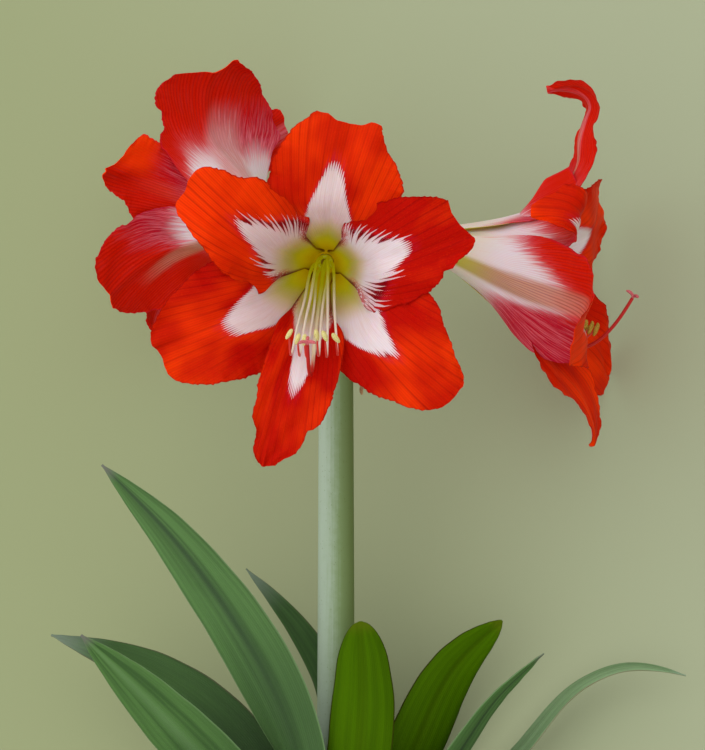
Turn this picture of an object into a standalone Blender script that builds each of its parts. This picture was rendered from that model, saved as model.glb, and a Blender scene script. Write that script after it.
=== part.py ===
"""Flowering amaryllis stem with its leaves, cut through the neck of the bulb and laid on its back.

The plant is drawn upright, as it grows: X to the right, Z up the scape, and -Y toward the side that the
front bloom faces. One empty then lays it down, so that it rests on the neck and on the petals of two blooms.
Sizes below are millimetres unless they say otherwise.
"""
import math
from dataclasses import dataclass

import bmesh
import bpy
import numpy as np
from mathutils import Matrix, Vector

MM = 0.001
WELD = 0.00001
SHARP_ANGLE = math.radians(50)
UP = np.array([0.0, 0.0, 1.0])

# How the plant lies: the umbel end is raised by PITCH and the plant is rolled by ROLL, in degrees, until the
# lowest petal of the left bloom and of the right bloom both touch the surface. The surface cuts a flat spot
# REST_CUT deep in the neck's rim. PLAN_MIDDLE leads from the rim's lowest corner to the middle of the plant's
# outline seen from above, which is the origin.
PITCH = 14.089
ROLL = 15.266
REST_CUT = 1.5
PLAN_MIDDLE = (10.2789, 246.6831)
SURFACE_SIZE = 0.12
SURFACE_DEPTH = 0.03

# Scape: the bare flower stalk, from the cut at the neck to the head that carries the blooms.
CUT_Z = -335.0
SCAPE_TOP_Z = 50.0
SCAPE_RADIUS_CUT = 11.2
SCAPE_RADIUS_TOP = 9.3
SCAPE_HEAD_RADIUS = 10.4
SCAPE_HEAD_HEIGHT = 9.0
SCAPE_SIDES = 24

# Neck: leaf bases nested round the scape, held by a sleeve of old outer leaf bases. The blades are thinner.
NECK_HEIGHT = 25.0
BASE_THICKNESS = 2.5
BLADE_SHARE = 0.62
NEST_GAP = 0.5
BASE_WRAP = 0.33 * math.pi
SLEEVE_THICKNESS = 2.5
SLEEVE_SIDES = 32
LEAF_ROWS = 12
LEAF_COLUMNS = 6

# Perianth: six tepals that grow from one short tube.
TUBE_RADIUS = 5.8
TUBE_HEIGHT = 9.0
TUBE_WALL = 3.2
TUBE_SIDES = 18
TEPAL_THICKNESS = 0.9
WHORL_OFFSET = 0.9
WHORL_SPREAD = 0.7
BASE_ANGLE = 4.0
THROAT_AT = 0.15
CLAW_SHARE = 0.23
CLAW_ARC_LIMIT = 0.90 * math.pi / 3.0
RIB_DEPTH = 1.0
TEPAL_FOOT = 0.012
TIP_CROWDING = 1.15
TEPAL_ROWS = 11
TEPAL_COLUMNS = 6

# Withered bracts at the head of the scape.
BRACT_LENGTH = 58.0
BRACT_HALF_WIDTH = 8.5
BRACT_THICKNESS = 0.8
BRACT_GAP = 0.9

# Ovary and flower stalk under each bloom.
PEDICEL_RADIUS = 4.0
OVARY_LENGTH = 17.0
OVARY_RADIUS = 6.6
SEAT_GAP = 0.3

# Stamens and style, along the lower side of the funnel.
RING_HEIGHT = (5.0, 8.0)
RING_RADII = (2.3, 4.3)
RING_SIDES = 12
FILAMENT_RADIUS = 0.9
FILAMENT_POINTS = 8
STAMEN_LANES = (12.5, 7.5, -6.5, -11.0, -2.8, 3.2)
ANTHER_SIZE = (4.2, 1.7)
STYLE_RADIUS = 1.1
STYLE_POINTS = 12
STIGMA_LOBE = 5.5


@dataclass(frozen=True)
class Tepal:
    """One tepal: angles in degrees round and away from the bloom's axis, lengths in millimetres."""
    azimuth: float
    length: float
    halves: tuple[float, float]
    funnel: float = 27.0
    rim: float = 52.0
    flare: float = 78.0
    tip: float = 92.0
    throat: float = 20.0
    turn: float = 0.66
    cup: float = 0.0
    wave: float = 2.0
    waves: float = 2.2
    phase: float = 0.0
    peak: float = 0.62
    blunt: float = 2.5
    outer: bool = False


@dataclass(frozen=True)
class Bloom:
    """One bloom: the foot of its tube, the way it faces, its tepals, stalk, style and stamens."""
    name: str
    foot: tuple[float, float, float]
    axis: tuple[float, float, float]
    tepals: tuple[Tepal, ...]
    stalk: tuple[tuple[float, float, float], ...]
    style: tuple[tuple[float, float, float], ...]
    stamen_lift: float = 0.0


@dataclass(frozen=True)
class Leaf:
    """One strap leaf: its place in the nest of leaf bases, and the line that its midrib follows."""
    name: str
    level: int
    azimuth: float
    half_width: float
    face: tuple[float, float, float]
    path: tuple[tuple[float, float, float], ...]
    taper: float = 0.55
    point: tuple[float, float] = (1.8, 1.15)


FRONT = Bloom("front", (-5.0, -54.0, 61.0), (-0.07, -0.983, -0.17), (
    Tepal(76, 146, (32, 34), rim=62, flare=88, tip=150, wave=1.5, blunt=2.8, cup=-0.002, outer=True),
    Tepal(203, 138, (30, 30), rim=58, flare=82, phase=40, blunt=2.6, cup=-0.001, outer=True),
    Tepal(324, 142, (30, 27), rim=58, flare=82, phase=90, blunt=2.8, cup=-0.001, outer=True),
    Tepal(17, 135, (30, 29), rim=50, flare=76, phase=10, cup=0.004),
    Tepal(148, 130, (28, 27), rim=50, flare=80, tip=105, phase=60, cup=0.004),
    Tepal(255, 152, (17, 24), rim=50, flare=74, tip=88, wave=1.5, phase=120, blunt=2.2, cup=0.004)),
    stalk=((0, -5.4, 50.9), (0, -5.6, 55), (-0.5, -9.5, 63), (-1.5, -19, 66.5)),
    style=((0, 0, 0.5), (0, -0.3, 9), (0, -5, 22), (0, -18, 50), (0, -35, 84), (0, -44, 102), (0, -39, 114),
           (0, -26, 120)))

RIGHT = Bloom("right", (49.0, 4.0, 75.0), (0.95, -0.12, -0.27), (
    Tepal(92, 180, (26, 26), turn=0.50, funnel=24, rim=66, flare=94, tip=215, wave=4, cup=0.006, outer=True),
    Tepal(206, 152, (38, 36), throat=24, turn=0.69, rim=55, flare=92, tip=115, wave=3, phase=40, blunt=2.6,
          cup=0.003, outer=True),
    Tepal(328, 152, (30, 30), throat=24, turn=0.70, rim=50, flare=66, tip=86, wave=3, phase=90, outer=True),
    Tepal(32, 138, (29, 29), throat=22, funnel=26, flare=80, tip=98, wave=3, phase=10),
    Tepal(152, 130, (30, 28), throat=22, funnel=26, rim=68, flare=110, tip=190, wave=3, phase=60),
    Tepal(266, 150, (20, 20), throat=24, funnel=28, rim=34, flare=42, tip=84, wave=4, phase=120, cup=0.008)),
    stalk=((4.7, 2.7, 50.9), (4.9, 2.8, 55), (9, 3.5, 66), (19, 4.4, 75)),
    style=((0, 0, 0.5), (0, -0.3, 9), (0, -5, 22), (0, -18.5, 52), (0, -32.5, 84), (0, -34, 100), (0, -20, 113),
           (0, 0, 120)),
    stamen_lift=3.0)

LEFT = Bloom("left", (-27.0, 18.0, 84.0), (-0.70, 0.68, 0.20), (
    Tepal(90, 133, (37, 42), flare=84, rim=58, tip=140, wave=3, blunt=3.0, outer=True),
    Tepal(201, 135, (30, 30), rim=46, flare=60, tip=80, phase=40, outer=True),
    Tepal(313, 129, (27, 34), rim=52, flare=74, tip=98, phase=90, blunt=2.6, outer=True),
    Tepal(13, 120, (27, 27), rim=52, flare=80, tip=120, wave=3, phase=10, cup=0.004),
    Tepal(150, 135, (28, 28), rim=44, flare=60, tip=80, phase=60, cup=0.004),
    Tepal(264, 136, (20, 20), rim=44, flare=60, tip=80, wave=1.5, phase=120, cup=0.004)),
    stalk=((-4.7, 2.7, 50.9), (-4.8, 2.9, 55), (-6.5, 4.5, 65)),
    style=((0, 0, 0.5), (0, -0.3, 9), (0, -5, 22), (0, -18.5, 52), (0, -33, 84), (0, -37, 100), (0, -30, 112),
           (0, -18, 118)))

LEAVES = (
    Leaf("leaf_left_tall", 2, 150, 18.5, (-0.45, -0.9, 0.25),
         ((-22, -22, -204), (-56, -27, -134), (-93, -25, -85), (-127, -14, -51))),
    Leaf("leaf_left_low_front", 4, 162, 16.0, (-0.6, -0.6, 0.4),
         ((-77, -28, -204), (-112, -36, -166), (-138, -38, -141))),
    Leaf("leaf_left_low_back", 3, 212, 18.0, (0.3, 0.6, -0.6),
         ((-48, 14, -218), (-86, 28, -181), (-125, 38, -161), (-163, 43, -149))),
    Leaf("leaf_behind_scape", 1, 252, 13.0, (0.6, 0.8, -0.2),
         ((-8, 22, -172), (-26, 27, -139), (-51, 34, -110))),
    Leaf("leaf_front_blunt", 1, 90, 18.0, (0.0, -1.0, 0.1),
         ((13, -24, -205), (15, -28, -165), (13.5, -33, -134)), taper=0.6, point=(3.0, 2.0)),
    Leaf("leaf_right_broad", 2, 324, 16.5, (0.35, -0.9, -0.2),
         ((45, 2, -206), (67, -4, -161), (92, -8, -136))),
    Leaf("leaf_right_narrow", 3, 20, 15.0, (0.8, -0.5, -0.4),
         ((69, -5, -208), (88, -9, -180), (115, -12, -154))),
    Leaf("leaf_right_arching", 4, 345, 16.0, (0.5, 0.3, -0.8),
         ((104, 4, -208), (133, 2, -175), (164, -4, -162), (193, -10, -166.5))),
)


def unit(vectors):
    """Vectors scaled to length one."""
    vectors = np.asarray(vectors, float)
    return vectors / np.linalg.norm(vectors, axis=-1, keepdims=True)


def ease(start, end, t):
    """Smooth step from 0 at start to 1 at end."""
    x = np.clip((t - start) / (end - start), 0.0, 1.0)
    return x * x * (3.0 - 2.0 * x)


def through(knots, values, t):
    """Monotone curve through the values, so that an angle never swings past them."""
    knots, values = np.asarray(knots, float), np.asarray(values, float)
    steps = np.diff(knots)
    slopes = np.diff(values) / steps
    tangents = np.empty(len(knots))
    tangents[0], tangents[-1] = slopes[0], slopes[-1]
    for i in range(1, len(knots) - 1):
        before, after = slopes[i - 1], slopes[i]
        same_way = before * after > 0.0
        tangents[i] = 2.0 * before * after / (before + after) if same_way else 0.0
    i = np.clip(np.searchsorted(knots, t, side="right") - 1, 0, len(steps) - 1)
    x = (t - knots[i]) / steps[i]
    return ((1 + 2 * x) * (1 - x) ** 2 * values[i] + x * (1 - x) ** 2 * steps[i] * tangents[i]
            + x * x * (3 - 2 * x) * values[i + 1] + x * x * (x - 1) * steps[i] * tangents[i + 1])


def spline(points, count, heading=None):
    """Evenly spaced points on the cubic spline through a few points, and its length.

    The ends are free to straighten, unless a heading says which way the spline sets out.
    """
    points = np.asarray(points, float)
    knots = np.concatenate([[0.0], np.cumsum(np.linalg.norm(np.diff(points, axis=0), axis=1))])
    steps = np.diff(knots)
    size = len(points)
    matrix, right = np.eye(size), np.zeros((size, 3))
    for i in range(1, size - 1):
        matrix[i, i - 1:i + 2] = steps[i - 1], 2 * (steps[i - 1] + steps[i]), steps[i]
        right[i] = 6 * ((points[i + 1] - points[i]) / steps[i] - (points[i] - points[i - 1]) / steps[i - 1])
    if heading is not None:
        matrix[0, :2] = 2 * steps[0], steps[0]
        right[0] = 6 * ((points[1] - points[0]) / steps[0] - heading)
    bends = np.linalg.solve(matrix, right)
    where = np.linspace(0.0, knots[-1], 600)
    i = np.clip(np.searchsorted(knots, where, side="right") - 1, 0, size - 2)
    left, over, step = (knots[i + 1] - where)[:, None], (where - knots[i])[:, None], steps[i][:, None]
    fine = ((bends[i] * left ** 3 + bends[i + 1] * over ** 3) / (6 * step)
            + (points[i] / step - bends[i] * step / 6) * left
            + (points[i + 1] / step - bends[i + 1] * step / 6) * over)
    arc = np.concatenate([[0.0], np.cumsum(np.linalg.norm(np.diff(fine, axis=0), axis=1))])
    wanted = np.linspace(0.0, arc[-1], count)
    return np.stack([np.interp(wanted, arc, fine[:, k]) for k in range(3)], axis=-1), arc[-1]


def bloom_frame(bloom):
    """Foot of the tube and the bloom's own side, up and axis directions."""
    axis = unit(bloom.axis)
    up = unit(UP - UP.dot(axis) * axis)
    return np.array(bloom.foot, float), np.cross(up, axis), up, axis


def tepal_profile(tepal, t):
    """Radius, height and slope of a tepal's midrib at the shares t of its length."""
    knots = (0.0, THROAT_AT, tepal.turn - 0.14, tepal.turn, min(tepal.turn + 0.15, 0.86), 1.0)
    angles = (BASE_ANGLE, tepal.throat, tepal.funnel, tepal.rim, tepal.flare, tepal.tip)
    fine = np.linspace(0.0, 1.0, 401)
    slope = np.radians(through(knots, angles, fine))
    step = tepal.length / 400.0
    radius = TUBE_RADIUS + step * np.concatenate([[0.0], np.cumsum(np.sin(slope[1:]) + np.sin(slope[:-1])) / 2])
    height = step * np.concatenate([[0.0], np.cumsum(np.cos(slope[1:]) + np.cos(slope[:-1])) / 2])
    return np.interp(t, fine, radius), np.interp(t, fine, height), np.interp(t, fine, slope)


def half_width(tepal, t, v, radius):
    """Half width of a tepal: a narrow claw, the widest place at its peak, and a blunt tip."""
    rise = CLAW_SHARE + (1 - CLAW_SHARE) * np.sin(math.pi / 2 * np.clip(t / tepal.peak, 0, 1)) ** 1.5
    past = np.clip((t - tepal.peak) / (1 - tepal.peak), 0.0, 1.0)
    fall = np.maximum((1 - past ** tepal.blunt) ** (1 / tepal.blunt), 0.03)
    full = np.where(v < 0, tepal.halves[0], tepal.halves[1])
    return np.minimum(full * np.where(t < tepal.peak, rise, fall), CLAW_ARC_LIMIT * radius)


def tepal_points(bloom, tepal, t, v):
    """Points of a tepal's middle surface: t runs from foot to tip, v from edge to edge."""
    foot, side, up, axis = bloom_frame(bloom)
    radius, height, slope = tepal_profile(tepal, t)
    azimuth = math.radians(tepal.azimuth)
    out = math.cos(azimuth) * side + math.sin(azimuth) * up
    across = -math.sin(azimuth) * side + math.cos(azimuth) * up
    inward = np.sin(slope)[:, None] * axis - np.cos(slope)[:, None] * out
    blade = ease(0.35, 0.72, t)
    hug = (0.8 if tepal.outer else 0.92) / np.maximum(radius, TUBE_RADIUS)
    bend = (1 - blade) * hug + blade * tepal.cup
    bend = np.where(np.abs(bend) < 1e-5, 1e-5, bend)
    reach = half_width(tepal, t, v, radius) * v
    sideways = np.sin(bend * reach) / bend
    lift = (1 - np.cos(bend * reach)) / bend
    spread = WHORL_OFFSET + WHORL_SPREAD * ease(0.15, 0.5, t)
    lift = lift - spread if tepal.outer else lift + spread
    ripple = np.radians(tepal.phase) + np.where(v > 0, math.radians(120), 0.0)
    lift = lift + tepal.wave * ease(0.4, 0.7, t) * v * v * np.sin(2 * math.pi * tepal.waves * t + ripple)
    lift = lift - RIB_DEPTH * ease(0.25, 0.5, t) * np.exp(-(reach / 4.0) ** 2)
    middle = foot + radius[:, None] * out + height[:, None] * axis
    return middle + sideways[:, None] * across + lift[:, None] * inward


def nest_radius(level):
    """Middle radius of the leaf bases of one level, counted from the scape outward."""
    return SCAPE_RADIUS_CUT + (level - 0.5) * BASE_THICKNESS + level * NEST_GAP


def leaf_points(leaf, t, v):
    """Points of a leaf's middle surface: t runs from the cut to the tip, v from edge to edge."""
    nest = nest_radius(leaf.level)
    azimuth = math.radians(leaf.azimuth)
    out = np.array([math.cos(azimuth), -math.sin(azimuth), 0.0])
    base = nest * out + CUT_Z * UP
    line, length = spline([base + NECK_HEIGHT * UP, *leaf.path], 200, heading=UP)
    line = np.vstack([base, line])
    fine = np.concatenate([[0.0], NECK_HEIGHT + np.linspace(0.0, length, 200)]) / (NECK_HEIGHT + length)
    tangents = unit(np.gradient(line, axis=0))
    tangents[0] = UP
    neck = fine[1]
    turned = ease(neck + 0.08, 0.55, fine)[:, None]
    faces = unit(out * (1 - turned) + unit(leaf.face) * turned)
    faces = unit(faces - (faces * tangents).sum(axis=-1, keepdims=True) * tangents)
    across = np.cross(tangents, faces)

    def at(values):
        return np.stack([np.interp(t, fine, values[:, k]) for k in range(3)], axis=-1)

    base_half = min(14.0, BASE_WRAP * nest)
    half = base_half + (leaf.half_width - base_half) * ease(neck + 0.05, 0.5, t)
    past = np.clip((t - leaf.taper) / (1 - leaf.taper), 0.0, 1.0)
    half = half * np.maximum((1 - past ** leaf.point[0]) ** (1 / leaf.point[1]), 0.04)
    bend = 1 / nest + (0.012 - 1 / nest) * ease(neck + 0.05, 0.5, t)
    reach = half * v
    lift = -(1 - np.cos(bend * reach)) / bend
    lift = lift - 0.8 * ease(neck, 0.4, t) * np.exp(-(reach / 4.0) ** 2)
    return at(line) + (np.sin(bend * reach) / bend)[:, None] * at(across) + lift[:, None] * at(faces)


def lying_matrix():
    """World matrix of the plant: laid on its back, raised, rolled, and set down on its rest spot."""
    turn = (Matrix.Rotation(math.radians(PITCH), 4, "X") @ Matrix.Rotation(math.radians(ROLL), 4, "Y")
            @ Matrix.Rotation(-math.pi / 2, 4, "X"))
    floor_normal = turn.transposed().to_3x3() @ Vector((0, 0, 1))
    sideways = Vector((floor_normal.x, floor_normal.y, 0)).normalized()
    lowest = Vector((0, 0, CUT_Z)) - sleeve_radii()[1] * sideways
    low = turn @ lowest
    origin = Vector((low.x + PLAN_MIDDLE[0], low.y + PLAN_MIDDLE[1], low.z + REST_CUT))
    return Matrix.Translation(-origin * MM) @ turn


def sleeve_radii():
    """Inner and outer radius of the sleeve round the leaf bases."""
    inner = nest_radius(4) + BASE_THICKNESS / 2 + NEST_GAP
    return inner, inner + SLEEVE_THICKNESS


def principled(name, colour, roughness):
    """A plain Principled material."""
    material = bpy.data.materials.new(name)
    material.use_nodes = True
    shader = material.node_tree.nodes["Principled BSDF"]
    shader.inputs["Base Color"].default_value = (*colour, 1.0)
    shader.inputs["Roughness"].default_value = roughness
    shader.inputs["Metallic"].default_value = 0.0
    return material


class Plant:
    """Collections, materials and the empty that lays the plant down."""

    def __init__(self):
        for old in list(bpy.data.objects):
            bpy.data.objects.remove(old)
        self.parts = bpy.data.collections.new("amaryllis_stem")
        self.cutters = bpy.data.collections.new("cutters")
        for collection in (self.parts, self.cutters):
            bpy.context.scene.collection.children.link(collection)
        self.pose = bpy.data.objects.new("lying_pose", None)
        self.parts.objects.link(self.pose)
        self.pose.matrix_world = lying_matrix()

    def add(self, piece, material):
        """Link a piece to the plant's collection and lay it down with the rest."""
        for collection in list(piece.users_collection):
            collection.objects.unlink(piece)
        self.parts.objects.link(piece)
        piece.parent = self.pose
        piece.data.shade_smooth()
        piece.data.set_sharp_from_angle(angle=SHARP_ANGLE)
        piece.data.materials.clear()
        piece.data.materials.append(material)
        return piece


def new_object(name, mesh_or_curve):
    """A linked object that holds the data."""
    piece = bpy.data.objects.new(name, mesh_or_curve)
    bpy.context.scene.collection.objects.link(piece)
    return piece


def baked(piece, merge=0.0):
    """Replace a piece that has modifiers, or a curve, by its plain mesh object."""
    name = piece.name
    bpy.context.view_layer.update()
    shape = bpy.data.meshes.new_from_object(piece.evaluated_get(bpy.context.evaluated_depsgraph_get()))
    if merge > 0.0:
        cleaned = bmesh.new()
        cleaned.from_mesh(shape)
        bmesh.ops.remove_doubles(cleaned, verts=cleaned.verts, dist=merge)
        cleaned.to_mesh(shape)
        cleaned.free()
    place = piece.matrix_world.copy()
    bpy.data.objects.remove(piece)
    result = new_object(name, shape)
    result.matrix_world = place
    return result


def sheet(name, rows, columns, points_at, thickness, crowding=1.0):
    """A grid moved by a formula, split into triangles and given its thickness evenly to both sides.

    The rows crowd toward the tip when crowding is more than one.
    """
    grid = bmesh.new()
    bmesh.ops.create_grid(grid, x_segments=rows, y_segments=columns, size=1.0)
    t = np.array([(vertex.co.x + 1) / 2 for vertex in grid.verts])
    t = 1 - (1 - np.clip(t, 0.0, 1.0)) ** crowding
    v = np.array([vertex.co.y for vertex in grid.verts])
    for vertex, place in zip(grid.verts, points_at(t, v)):
        vertex.co = Vector(place) * MM
    shape = bpy.data.meshes.new(name)
    grid.to_mesh(shape)
    grid.free()
    piece = new_object(name, shape)
    piece.modifiers.new("triangles", "TRIANGULATE").quad_method = "SHORTEST_DIAGONAL"
    wall = piece.modifiers.new("thickness", "SOLIDIFY")
    wall.thickness = thickness * MM
    wall.offset = 0.0
    return piece


def tube(name, points, radii, sides=8):
    """A closed tube through the points, with a radius at each point."""
    curve = bpy.data.curves.new(name, "CURVE")
    curve.dimensions = "3D"
    curve.bevel_depth = MM
    curve.bevel_resolution = (sides - 4) // 2
    curve.use_fill_caps = True
    line = curve.splines.new("POLY")
    line.points.add(len(points) - 1)
    for point, place, radius in zip(line.points, points, radii):
        point.co = (*(Vector(place) * MM), 1.0)
        point.radius = radius
    return baked(new_object(name, curve), merge=WELD)


def turned(name, profile, sides):
    """A profile of (radius, height) pairs, turned round Z; it runs down the outside."""
    outline = bmesh.new()
    closed = profile[0] == profile[-1]
    corners = [outline.verts.new((radius * MM, 0, height * MM)) for radius, height in profile[closed:]]
    for first, second in zip(corners, corners[1:] + corners[:closed]):
        outline.edges.new((first, second))
    shape = bpy.data.meshes.new(name)
    outline.to_mesh(shape)
    outline.free()
    piece = new_object(name, shape)
    screw = piece.modifiers.new("turn", "SCREW")
    screw.steps = sides
    screw.render_steps = sides
    screw.use_merge_vertices = True
    screw.merge_threshold = 0.0001
    return piece


def fused(name, body, pieces, solver="EXACT"):
    """The body joined with every piece by one Boolean union on a collection."""
    group = bpy.data.collections.new(name + "_pieces")
    bpy.context.scene.collection.children.link(group)
    for piece in pieces:
        for collection in list(piece.users_collection):
            collection.objects.unlink(piece)
        group.objects.link(piece)
    union = body.modifiers.new("union", "BOOLEAN")
    union.operation = "UNION"
    union.operand_type = "COLLECTION"
    union.collection = group
    union.solver = solver
    body.name = name
    result = baked(body)
    for piece in list(group.objects):
        bpy.data.objects.remove(piece)
    bpy.data.collections.remove(group)
    return result


def along_axis(bloom, height=0.0):
    """Matrix that puts a shape turned round Z on a bloom's axis, at a height above its foot."""
    foot, side, up, axis = bloom_frame(bloom)
    turn = Matrix((side, up, axis)).transposed().to_4x4()
    return Matrix.Translation(Vector(foot + height * axis) * MM) @ turn


def in_bloom(bloom, points):
    """Places given as side, up and height in a bloom, as places in the plant."""
    foot, side, up, axis = bloom_frame(bloom)
    return [foot + p[0] * side + p[1] * up + p[2] * axis for p in points]


def build_scape(plant, material):
    """The flower stalk, a little thinner toward the top, with the head that carries the blooms."""
    head_foot = SCAPE_TOP_Z - SCAPE_HEAD_HEIGHT
    profile = [(0, SCAPE_TOP_Z), (SCAPE_HEAD_RADIUS - 1.0, SCAPE_TOP_Z), (SCAPE_HEAD_RADIUS, SCAPE_TOP_Z - 2.5),
               (SCAPE_RADIUS_TOP, head_foot)]
    for share in (0.33, 0.66, 1.0):
        radius = SCAPE_RADIUS_TOP + (SCAPE_RADIUS_CUT - SCAPE_RADIUS_TOP) * share
        profile.append((radius, head_foot + (CUT_Z - head_foot) * share))
    profile.append((0, CUT_Z))
    plant.add(turned("scape", profile, SCAPE_SIDES), material)


def build_sleeve(plant, material):
    """The sleeve of old leaf bases round the neck, with the flat spot that the plant rests on."""
    inner, outer = sleeve_radii()
    top = CUT_Z + NECK_HEIGHT
    profile = [(inner, top - 1.5), (inner + 0.6, top), (outer - 0.6, top), (outer, top - 1.5), (outer, CUT_Z),
               (inner, CUT_Z), (inner, top - 1.5)]
    sleeve = plant.add(turned("neck_sleeve", profile, SLEEVE_SIDES), material)
    bpy.ops.mesh.primitive_cube_add(size=1.0)
    ground = bpy.context.active_object
    ground.name = "ground_cutter"
    ground.scale = (SURFACE_SIZE, SURFACE_SIZE, SURFACE_DEPTH)
    rim = -PLAN_MIDDLE[1] * MM
    ground.location = (0, rim, -SURFACE_DEPTH / 2)
    for collection in list(ground.users_collection):
        collection.objects.unlink(ground)
    plant.cutters.objects.link(ground)
    ground.hide_render = True
    ground.display_type = "WIRE"
    cut = sleeve.modifiers.new("rest_spot", "BOOLEAN")
    cut.operation = "DIFFERENCE"
    cut.solver = "EXACT"
    cut.object = ground


def build_leaf(plant, leaf, material):
    """A strap leaf, thick at its base in the neck and thin toward the tip."""
    piece = sheet(leaf.name, LEAF_ROWS, LEAF_COLUMNS, lambda t, v: leaf_points(leaf, t, v), BASE_THICKNESS)
    wall = piece.modifiers["thickness"]
    group = piece.vertex_groups.new(name="base")
    for vertex in piece.data.vertices:
        height = vertex.co.z / MM - CUT_Z
        group.add([vertex.index], float(1 - ease(NECK_HEIGHT, 3.5 * NECK_HEIGHT, height)), "REPLACE")
    wall.vertex_group = group.name
    wall.thickness_vertex_group = BLADE_SHARE
    plant.add(piece, material)


def build_perianth(plant, bloom, material):
    """Six tepals and the short tube that they grow from, in one piece.

    The exact solver leaves open edges where two thin tepals graze each other, and the manifold one doesn't.
    """
    shares = np.linspace(0.0, TUBE_HEIGHT / bloom.tepals[0].length, 3)
    radius, height, _ = tepal_profile(bloom.tepals[0], shares)
    half = TUBE_WALL / 2
    outside = [(r + half, h) for r, h in zip(radius[::-1], height[::-1])]
    inside = [(r - half, h) for r, h in zip(radius, height)]
    body = turned(bloom.name + "_tube", outside + inside + outside[:1], TUBE_SIDES)
    body.matrix_world = along_axis(bloom, SEAT_GAP)
    tepals = []
    for number, tepal in enumerate(bloom.tepals):
        tepals.append(sheet(f"{bloom.name}_tepal_{number}", TEPAL_ROWS, TEPAL_COLUMNS,
                            lambda t, v, tepal=tepal: tepal_points(bloom, tepal,
                                                                   TEPAL_FOOT + (1 - TEPAL_FOOT) * t, v),
                            TEPAL_THICKNESS, crowding=TIP_CROWDING))
    plant.add(fused(bloom.name + "_perianth", body, tepals, solver="MANIFOLD"), material)


def filament_route(bloom, number, start):
    """Bends of one filament, as side, up and height: it runs down to the lower petals and hooks up at its end."""
    lane = STAMEN_LANES[number]
    lift = bloom.stamen_lift
    longer = (number * 2 % 3) * 3.0
    return [(start[0], start[1], RING_HEIGHT[0] + 1.0),
            (start[0] * 1.7, start[1] * 1.1 - 0.5, 22.0),
            (start[0] * 0.5 + lane * 0.5, start[1] * 0.5 - 12.5, 48.0),
            (lane * 0.9, start[1] * 0.3 - 29.0, 80.0),
            (lane, lift - 36.0, 90.0 + longer),
            (lane, lift - 26.0 + number % 2 * 2.0, 99.0 + longer)]


def build_stamens(plant, bloom, material):
    """Six filaments with their anthers, on the ring where they grow out of the throat."""
    low, high = RING_HEIGHT
    inner, outer = RING_RADII
    ring = turned(bloom.name + "_ring", [(outer, high), (outer, low), (inner, low), (inner, high), (outer, high)],
                  RING_SIDES)
    ring.matrix_world = along_axis(bloom)
    middle = (inner + outer) / 2
    pieces = []
    for number, lane in enumerate(STAMEN_LANES):
        azimuth = math.radians(60 * number)
        route = filament_route(bloom, number, (middle * math.cos(azimuth), middle * math.sin(azimuth)))
        points, _ = spline(in_bloom(bloom, route), FILAMENT_POINTS)
        pieces.append(tube(f"{bloom.name}_filament_{number}", points, [FILAMENT_RADIUS] * FILAMENT_POINTS, 6))
        bpy.ops.mesh.primitive_uv_sphere_add(segments=6, ring_count=5, radius=1.0)
        anther = bpy.context.active_object
        long_half, round_half = ANTHER_SIZE
        anther.matrix_world = (Matrix.Translation(Vector(points[-1]) * MM) @ along_axis(bloom).to_3x3().to_4x4()
                               @ Matrix.Rotation(math.radians(3 * lane), 4, "Z")
                               @ Matrix.Diagonal((round_half * MM, long_half * MM, round_half * MM, 1.0)))
        pieces.append(anther)
    plant.add(fused(bloom.name + "_stamens", ring, pieces), material)


def build_style(plant, bloom, material):
    """The style, from the top of the ovary out past the stamens, with its stigma of three lobes."""
    points, _ = spline(in_bloom(bloom, bloom.style), STYLE_POINTS)
    body = tube(bloom.name + "_style", points, [STYLE_RADIUS] * STYLE_POINTS, 6)
    end, heading = points[-1], unit(points[-1] - points[-2])
    _, side, _, _ = bloom_frame(bloom)
    beside = unit(side - side.dot(heading) * heading)
    over = np.cross(heading, beside)
    lobes = []
    for number in range(3):
        angle = math.radians(90 + 120 * number)
        out = math.cos(angle) * beside + math.sin(angle) * over
        line = [end - 1.5 * heading, end + STIGMA_LOBE * (0.35 * out + 0.25 * heading),
                end + STIGMA_LOBE * (0.8 * out + 0.3 * heading)]
        lobes.append(tube(f"{bloom.name}_lobe_{number}", line, [0.8, 0.8, 0.7], 6))
    plant.add(fused(bloom.name + "_style", body, lobes), material)


def build_pedicel(plant, bloom, material):
    """The stalk of one bloom, swelling into the ovary under the foot of the tube."""
    foot, _, _, axis = bloom_frame(bloom)
    route = [*bloom.stalk, foot - (OVARY_LENGTH + 4) * axis, foot - OVARY_LENGTH / 2 * axis, foot]
    count = 12
    points, length = spline(route, count)
    from_foot = np.linspace(length, 0.0, count)
    swell = np.exp(-((from_foot - 0.45 * OVARY_LENGTH) / (0.42 * OVARY_LENGTH)) ** 2)
    neck = ease(5.0, 0.0, from_foot)
    radii = PEDICEL_RADIUS + (OVARY_RADIUS - PEDICEL_RADIUS) * np.maximum(swell, neck)
    plant.add(tube(bloom.name + "_pedicel", points, radii, 10), material)


def bract_points(way, t, v):
    """Points of a withered bract that hangs from the head of the scape, to the right or left (way 1 or -1)."""
    head = SCAPE_HEAD_RADIUS + BRACT_GAP
    bulge = 9.0 * math.sin(math.radians(60)) * ease(0.0, 0.45, t) - 5.0 * ease(0.5, 1.0, t)
    reach = BRACT_HALF_WIDTH * np.maximum(1 - t ** 2.2, 0.12) * v
    bend = 1 / head + (0.16 - 1 / head) * t
    lift = -(1 - np.cos(bend * reach)) / bend
    x = way * (head + bulge + lift)
    y = -way * np.sin(bend * reach) / bend
    z = SCAPE_TOP_Z - 3.0 - BRACT_LENGTH * t + 3.0 * t * v * v
    return np.stack([x, y, z], axis=-1)


def build_bracts(plant, material):
    """The two withered bracts that once wrapped the buds."""
    for name, way in (("bract_right", 1), ("bract_left", -1)):
        plant.add(sheet(name, 7, 4, lambda t, v, way=way: bract_points(way, t, v), BRACT_THICKNESS), material)


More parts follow.
